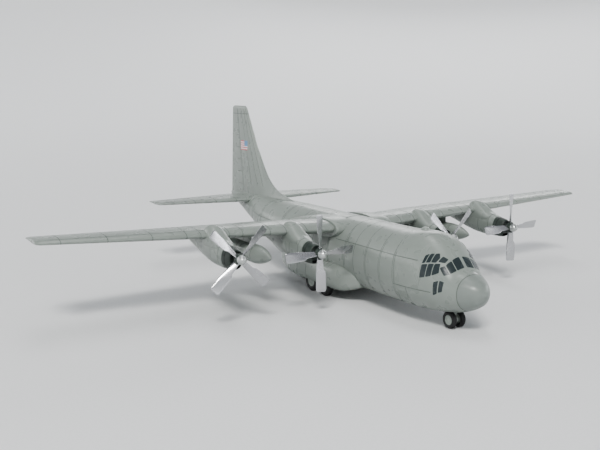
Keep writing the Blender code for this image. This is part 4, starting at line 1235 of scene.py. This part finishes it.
def build_gear():
    r = fs(MAIN_WHEEL_RADIUS)
    for side, name in ((1, "left"), (-1, "right")):
        x = side * fs(MAIN_TRACK / 2)
        for step, place in ((-0.5, "front"), (0.5, "rear")):
            y = st(MAIN_GEAR_STATION + step * MAIN_GEAR_SPACING)
            wheel(f"main_{place}_{name}", (x, y, r), r, MAIN_WHEEL_WIDTH, AXLE_RADIUS + 0.0001,
                  f"main_wheel_{place}_{name}", f"main_wheel_{place}_{name}", (-0.4, 0.0, 0.4), 9, side)
        xa, xb = side * 0.01372, side * 0.01468
        xs = sorted((xa, xb))
        y0 = st(MAIN_GEAR_STATION - 0.5 * MAIN_GEAR_SPACING)
        y1 = st(MAIN_GEAR_STATION + 0.5 * MAIN_GEAR_SPACING)
        bar = box_object(f"main_gear_{name}_bracket", (xs[0], y0 - 0.0030, 0.0092), (xs[1], y1 + 0.0030, 0.0119),
                         [GEAR], 0.00018)
        tools = []
        xm = sum(xs) / 2
        for y in (y0, y1):
            tools.append(box_object("leg", (xs[0] + 0.0001, y - 0.0013, r - 0.0002), (xs[1] - 0.0001, y + 0.0013, 0.0100),
                                    [GEAR], 0.00022))
            tools.append(rod("boss", (xs[0], y, r), (xs[1], y, r), 0.0020, [GEAR], 36, 0.0002))
            tools.append(rod("strut", (xm, y, r + 0.0006), (xm, y, 0.0105), 0.00046, [GEAR], 20, 0.0001))
            inner, outer = side * 0.0142, x + side * (MAIN_WHEEL_WIDTH * 0.36)
            tools.append(rod("axle", (inner, y, r), (outer, y, r), AXLE_RADIUS, [GEAR], 28, 0.00012))
        tools.append(rod("tie", (xm, y0 + 0.0013, r + 0.0016), (xm, y1 - 0.0013, r + 0.0016), 0.00036, [GEAR], 16))
        tools.append(rod("brace_a", (xm, y0 + 0.0006, r + 0.0010), (xm, (y0 + y1) / 2, 0.0096), 0.00030, [GEAR], 16))
        tools.append(rod("brace_b", (xm, y1 - 0.0006, r + 0.0010), (xm, (y0 + y1) / 2, 0.0096), 0.00030, [GEAR], 16))
        piece(combine(bar, tools, sharp=35), "airframe", "gear_plastic", f"main_gear_{name}")

    rn = fs(NOSE_WHEEL_RADIUS)
    y = st(NOSE_GEAR_STATION)
    reach = NOSE_WHEEL_OFFSET + NOSE_WHEEL_WIDTH * 0.36
    axle = rod("nose_axle_bar", (-reach, y, rn), (reach, y, rn), AXLE_RADIUS * 0.75, [GEAR], 28, 0.0001)
    piece(axle, "nose_wheels", "gear_plastic", "nose_axle")
    for side, name in ((1, "left"), (-1, "right")):
        wheel(f"nose_{name}", (side * NOSE_WHEEL_OFFSET, y, rn), rn, NOSE_WHEEL_WIDTH, AXLE_RADIUS * 0.75 + 0.00003,
              "nose_wheels", f"nose_wheel_{name}", (-0.3, 0.3), 6, side)
    boss = rod("nose_gear_leg_moulding", (-0.00095, y, rn), (0.00095, y, rn), 0.0017, [GEAR], 36, 0.00018)
    tools = [rod("strut", (0, y, rn + 0.0012), (0, y, 0.0095), 0.00085, [GEAR], 28),
             rod("sleeve", (0, y, 0.0062), (0, y, 0.0092), 0.00112, [GEAR], 28, 0.0001),
             rod("collar", (0, y, 0.0057), (0, y, 0.0060), 0.00118, [GEAR], 28, 0.00008),
             box_object("plate", (-0.0036, y - 0.0036, 0.0088), (0.0036, y + 0.0036, 0.0097), [GEAR], 0.00015),
             rod("link_a", (0, y + 0.0008, 0.0060), (0, y + 0.0021, 0.0051), 0.00032, [GEAR], 14, 0.00005),
             rod("link_b", (0, y + 0.0021, 0.0051), (0, y + 0.0009, 0.0044), 0.00032, [GEAR], 14, 0.00005),
             rod("drag", (0, y - 0.0006, 0.0064), (0, y - 0.0030, 0.0090), 0.00042, [GEAR], 16, 0.00005)]
    leg = combine(boss, tools, sharp=35)
    bore = rod("bore", (-0.005, y, rn), (0.005, y, rn), AXLE_RADIUS * 0.75 + 0.0001, [GEAR], 28)
    combine(leg, [bore], "DIFFERENCE", sharp=35)
    piece(leg, "airframe", "gear_plastic", "nose_gear_leg")


# ---------------------------------------------------------------- stage
def area(name, place, target, size, size_y, energy, colour=(1, 1, 1)):
    data = bpy.data.lights.new(name, "AREA")
    data.shape = "RECTANGLE"
    data.size = size
    data.size_y = size_y
    data.energy = energy
    data.color = colour
    obj = bpy.data.objects.new(name, data)
    bpy.context.scene.collection.objects.link(obj)
    obj.location = place
    obj.rotation_euler = (Vector(target) - Vector(place)).to_track_quat("-Z", "Y").to_euler()
    obj.visible_camera = False
    return obj


def build_stage():
    rows = [(0.0, 0.0)] + [(0.2 * k, 0.0) for k in range(1, 7)]
    rows += [(1.2 + 2.8 * math.sin(a), 2.4 * (1 - math.cos(a))) for a in [math.pi / 2 * k / 24 for k in range(1, 25)]]
    verts, rings = [], []
    count = 96
    for r, z in rows:
        if r == 0:
            rings.append([0])
            verts.append((0, 0, 0))
        else:
            rings.append(list(range(len(verts), len(verts) + count)))
            verts += [(r * math.cos(2 * math.pi * k / count), r * math.sin(2 * math.pi * k / count), z)
                      for k in range(count)]
    faces = []
    for a, b in zip(rings, rings[1:]):
        for k in range(count):
            n = (k + 1) % count
            faces.append((a[0], b[k], b[n]) if len(a) == 1 else (a[k], b[k], b[n], a[n]))
    mesh = bpy.data.meshes.new("studio_floor")
    mesh.from_pydata(verts, [], faces)
    mesh.shade_smooth()
    mat = bpy.data.materials.new("studio_paper")
    mat.use_nodes = True
    tree = mat.node_tree
    bsdf = tree.nodes["Principled BSDF"]
    bsdf.inputs["Roughness"].default_value = 0.85
    bsdf.inputs["Specular IOR Level"].default_value = 0.2
    noise = tree.nodes.new("ShaderNodeTexNoise")
    noise.inputs["Scale"].default_value = 900.0
    ramp = tree.nodes.new("ShaderNodeValToRGB")
    ramp.color_ramp.elements[0].color = (0.70, 0.71, 0.715, 1)
    ramp.color_ramp.elements[1].color = (0.76, 0.765, 0.77, 1)
    coords = tree.nodes.new("ShaderNodeTexCoord")
    tree.links.new(coords.outputs["Object"], noise.inputs["Vector"])
    tree.links.new(noise.outputs["Fac"], ramp.inputs["Fac"])
    tree.links.new(ramp.outputs["Color"], bsdf.inputs["Base Color"])
    mesh.materials.append(mat)
    obj = bpy.data.objects.new("studio_floor", mesh)
    bpy.context.scene.collection.objects.link(obj)

    world = bpy.data.worlds.new("studio")
    world.use_nodes = True
    world.node_tree.nodes["Background"].inputs["Color"].default_value = (0.90, 0.94, 1.0, 1)
    world.node_tree.nodes["Background"].inputs["Strength"].default_value = 0.31
    bpy.context.scene.world = world
    bpy.context.scene.view_settings.view_transform = "AgX"
    bpy.context.scene.view_settings.look = "AgX - Medium High Contrast"

    area("key", (-1.2, -1.6, 2.0), (0, 0, 0.02), 0.8, 0.5, 54.0, (1.0, 0.985, 0.96))
    area("left_strip", (-1.7, 1.7, 0.62), (0, 0, 0.03), 2.4, 0.40, 9.0)
    area("right_strip", (2.3, -0.7, 0.75), (0, 0, 0.03), 2.2, 0.40, 9.0, (0.97, 0.98, 1.0))
    area("top", (0.2, 0.5, 2.3), (0, 0, 0), 0.6, 2.0, 11.0)
    area("rim", (1.7, 1.8, 1.0), (0, 0, 0.04), 1.6, 0.4, 8.0)
    # washes the back of the sweep on every side
    for k in range(4):
        a = math.pi / 4 + math.pi / 2 * k
        area(f"wash_{k}", (1.1 * math.sin(a), 1.1 * math.cos(a), 2.2), (4.0 * math.sin(a), 4.0 * math.cos(a), 0.9),
             1.2, 0.5, 26.0)


def build_camera():
    az, el, distance = math.radians(329.0), math.radians(9.5), 0.43
    target = Vector((-0.0145, st(15.8), fs(4.0)))
    direction = Vector((math.sin(az) * math.cos(el), -math.cos(az) * math.cos(el), math.sin(el)))
    data = bpy.data.cameras.new("main_camera")
    data.lens = 50.0
    data.sensor_width = 36.0
    data.clip_start = 0.005
    data.clip_end = 50.0
    camera = bpy.data.objects.new("main_camera", data)
    bpy.context.scene.collection.objects.link(camera)
    camera.location = target + direction * distance
    camera.rotation_euler = (-direction).to_track_quat("-Z", "Y").to_euler()
    bpy.context.scene.camera = camera


build_stage()
build_camera()
build_fuselage()
build_prints()
build_wings()
build_engines()
build_tanks()
build_tail()
build_gear()
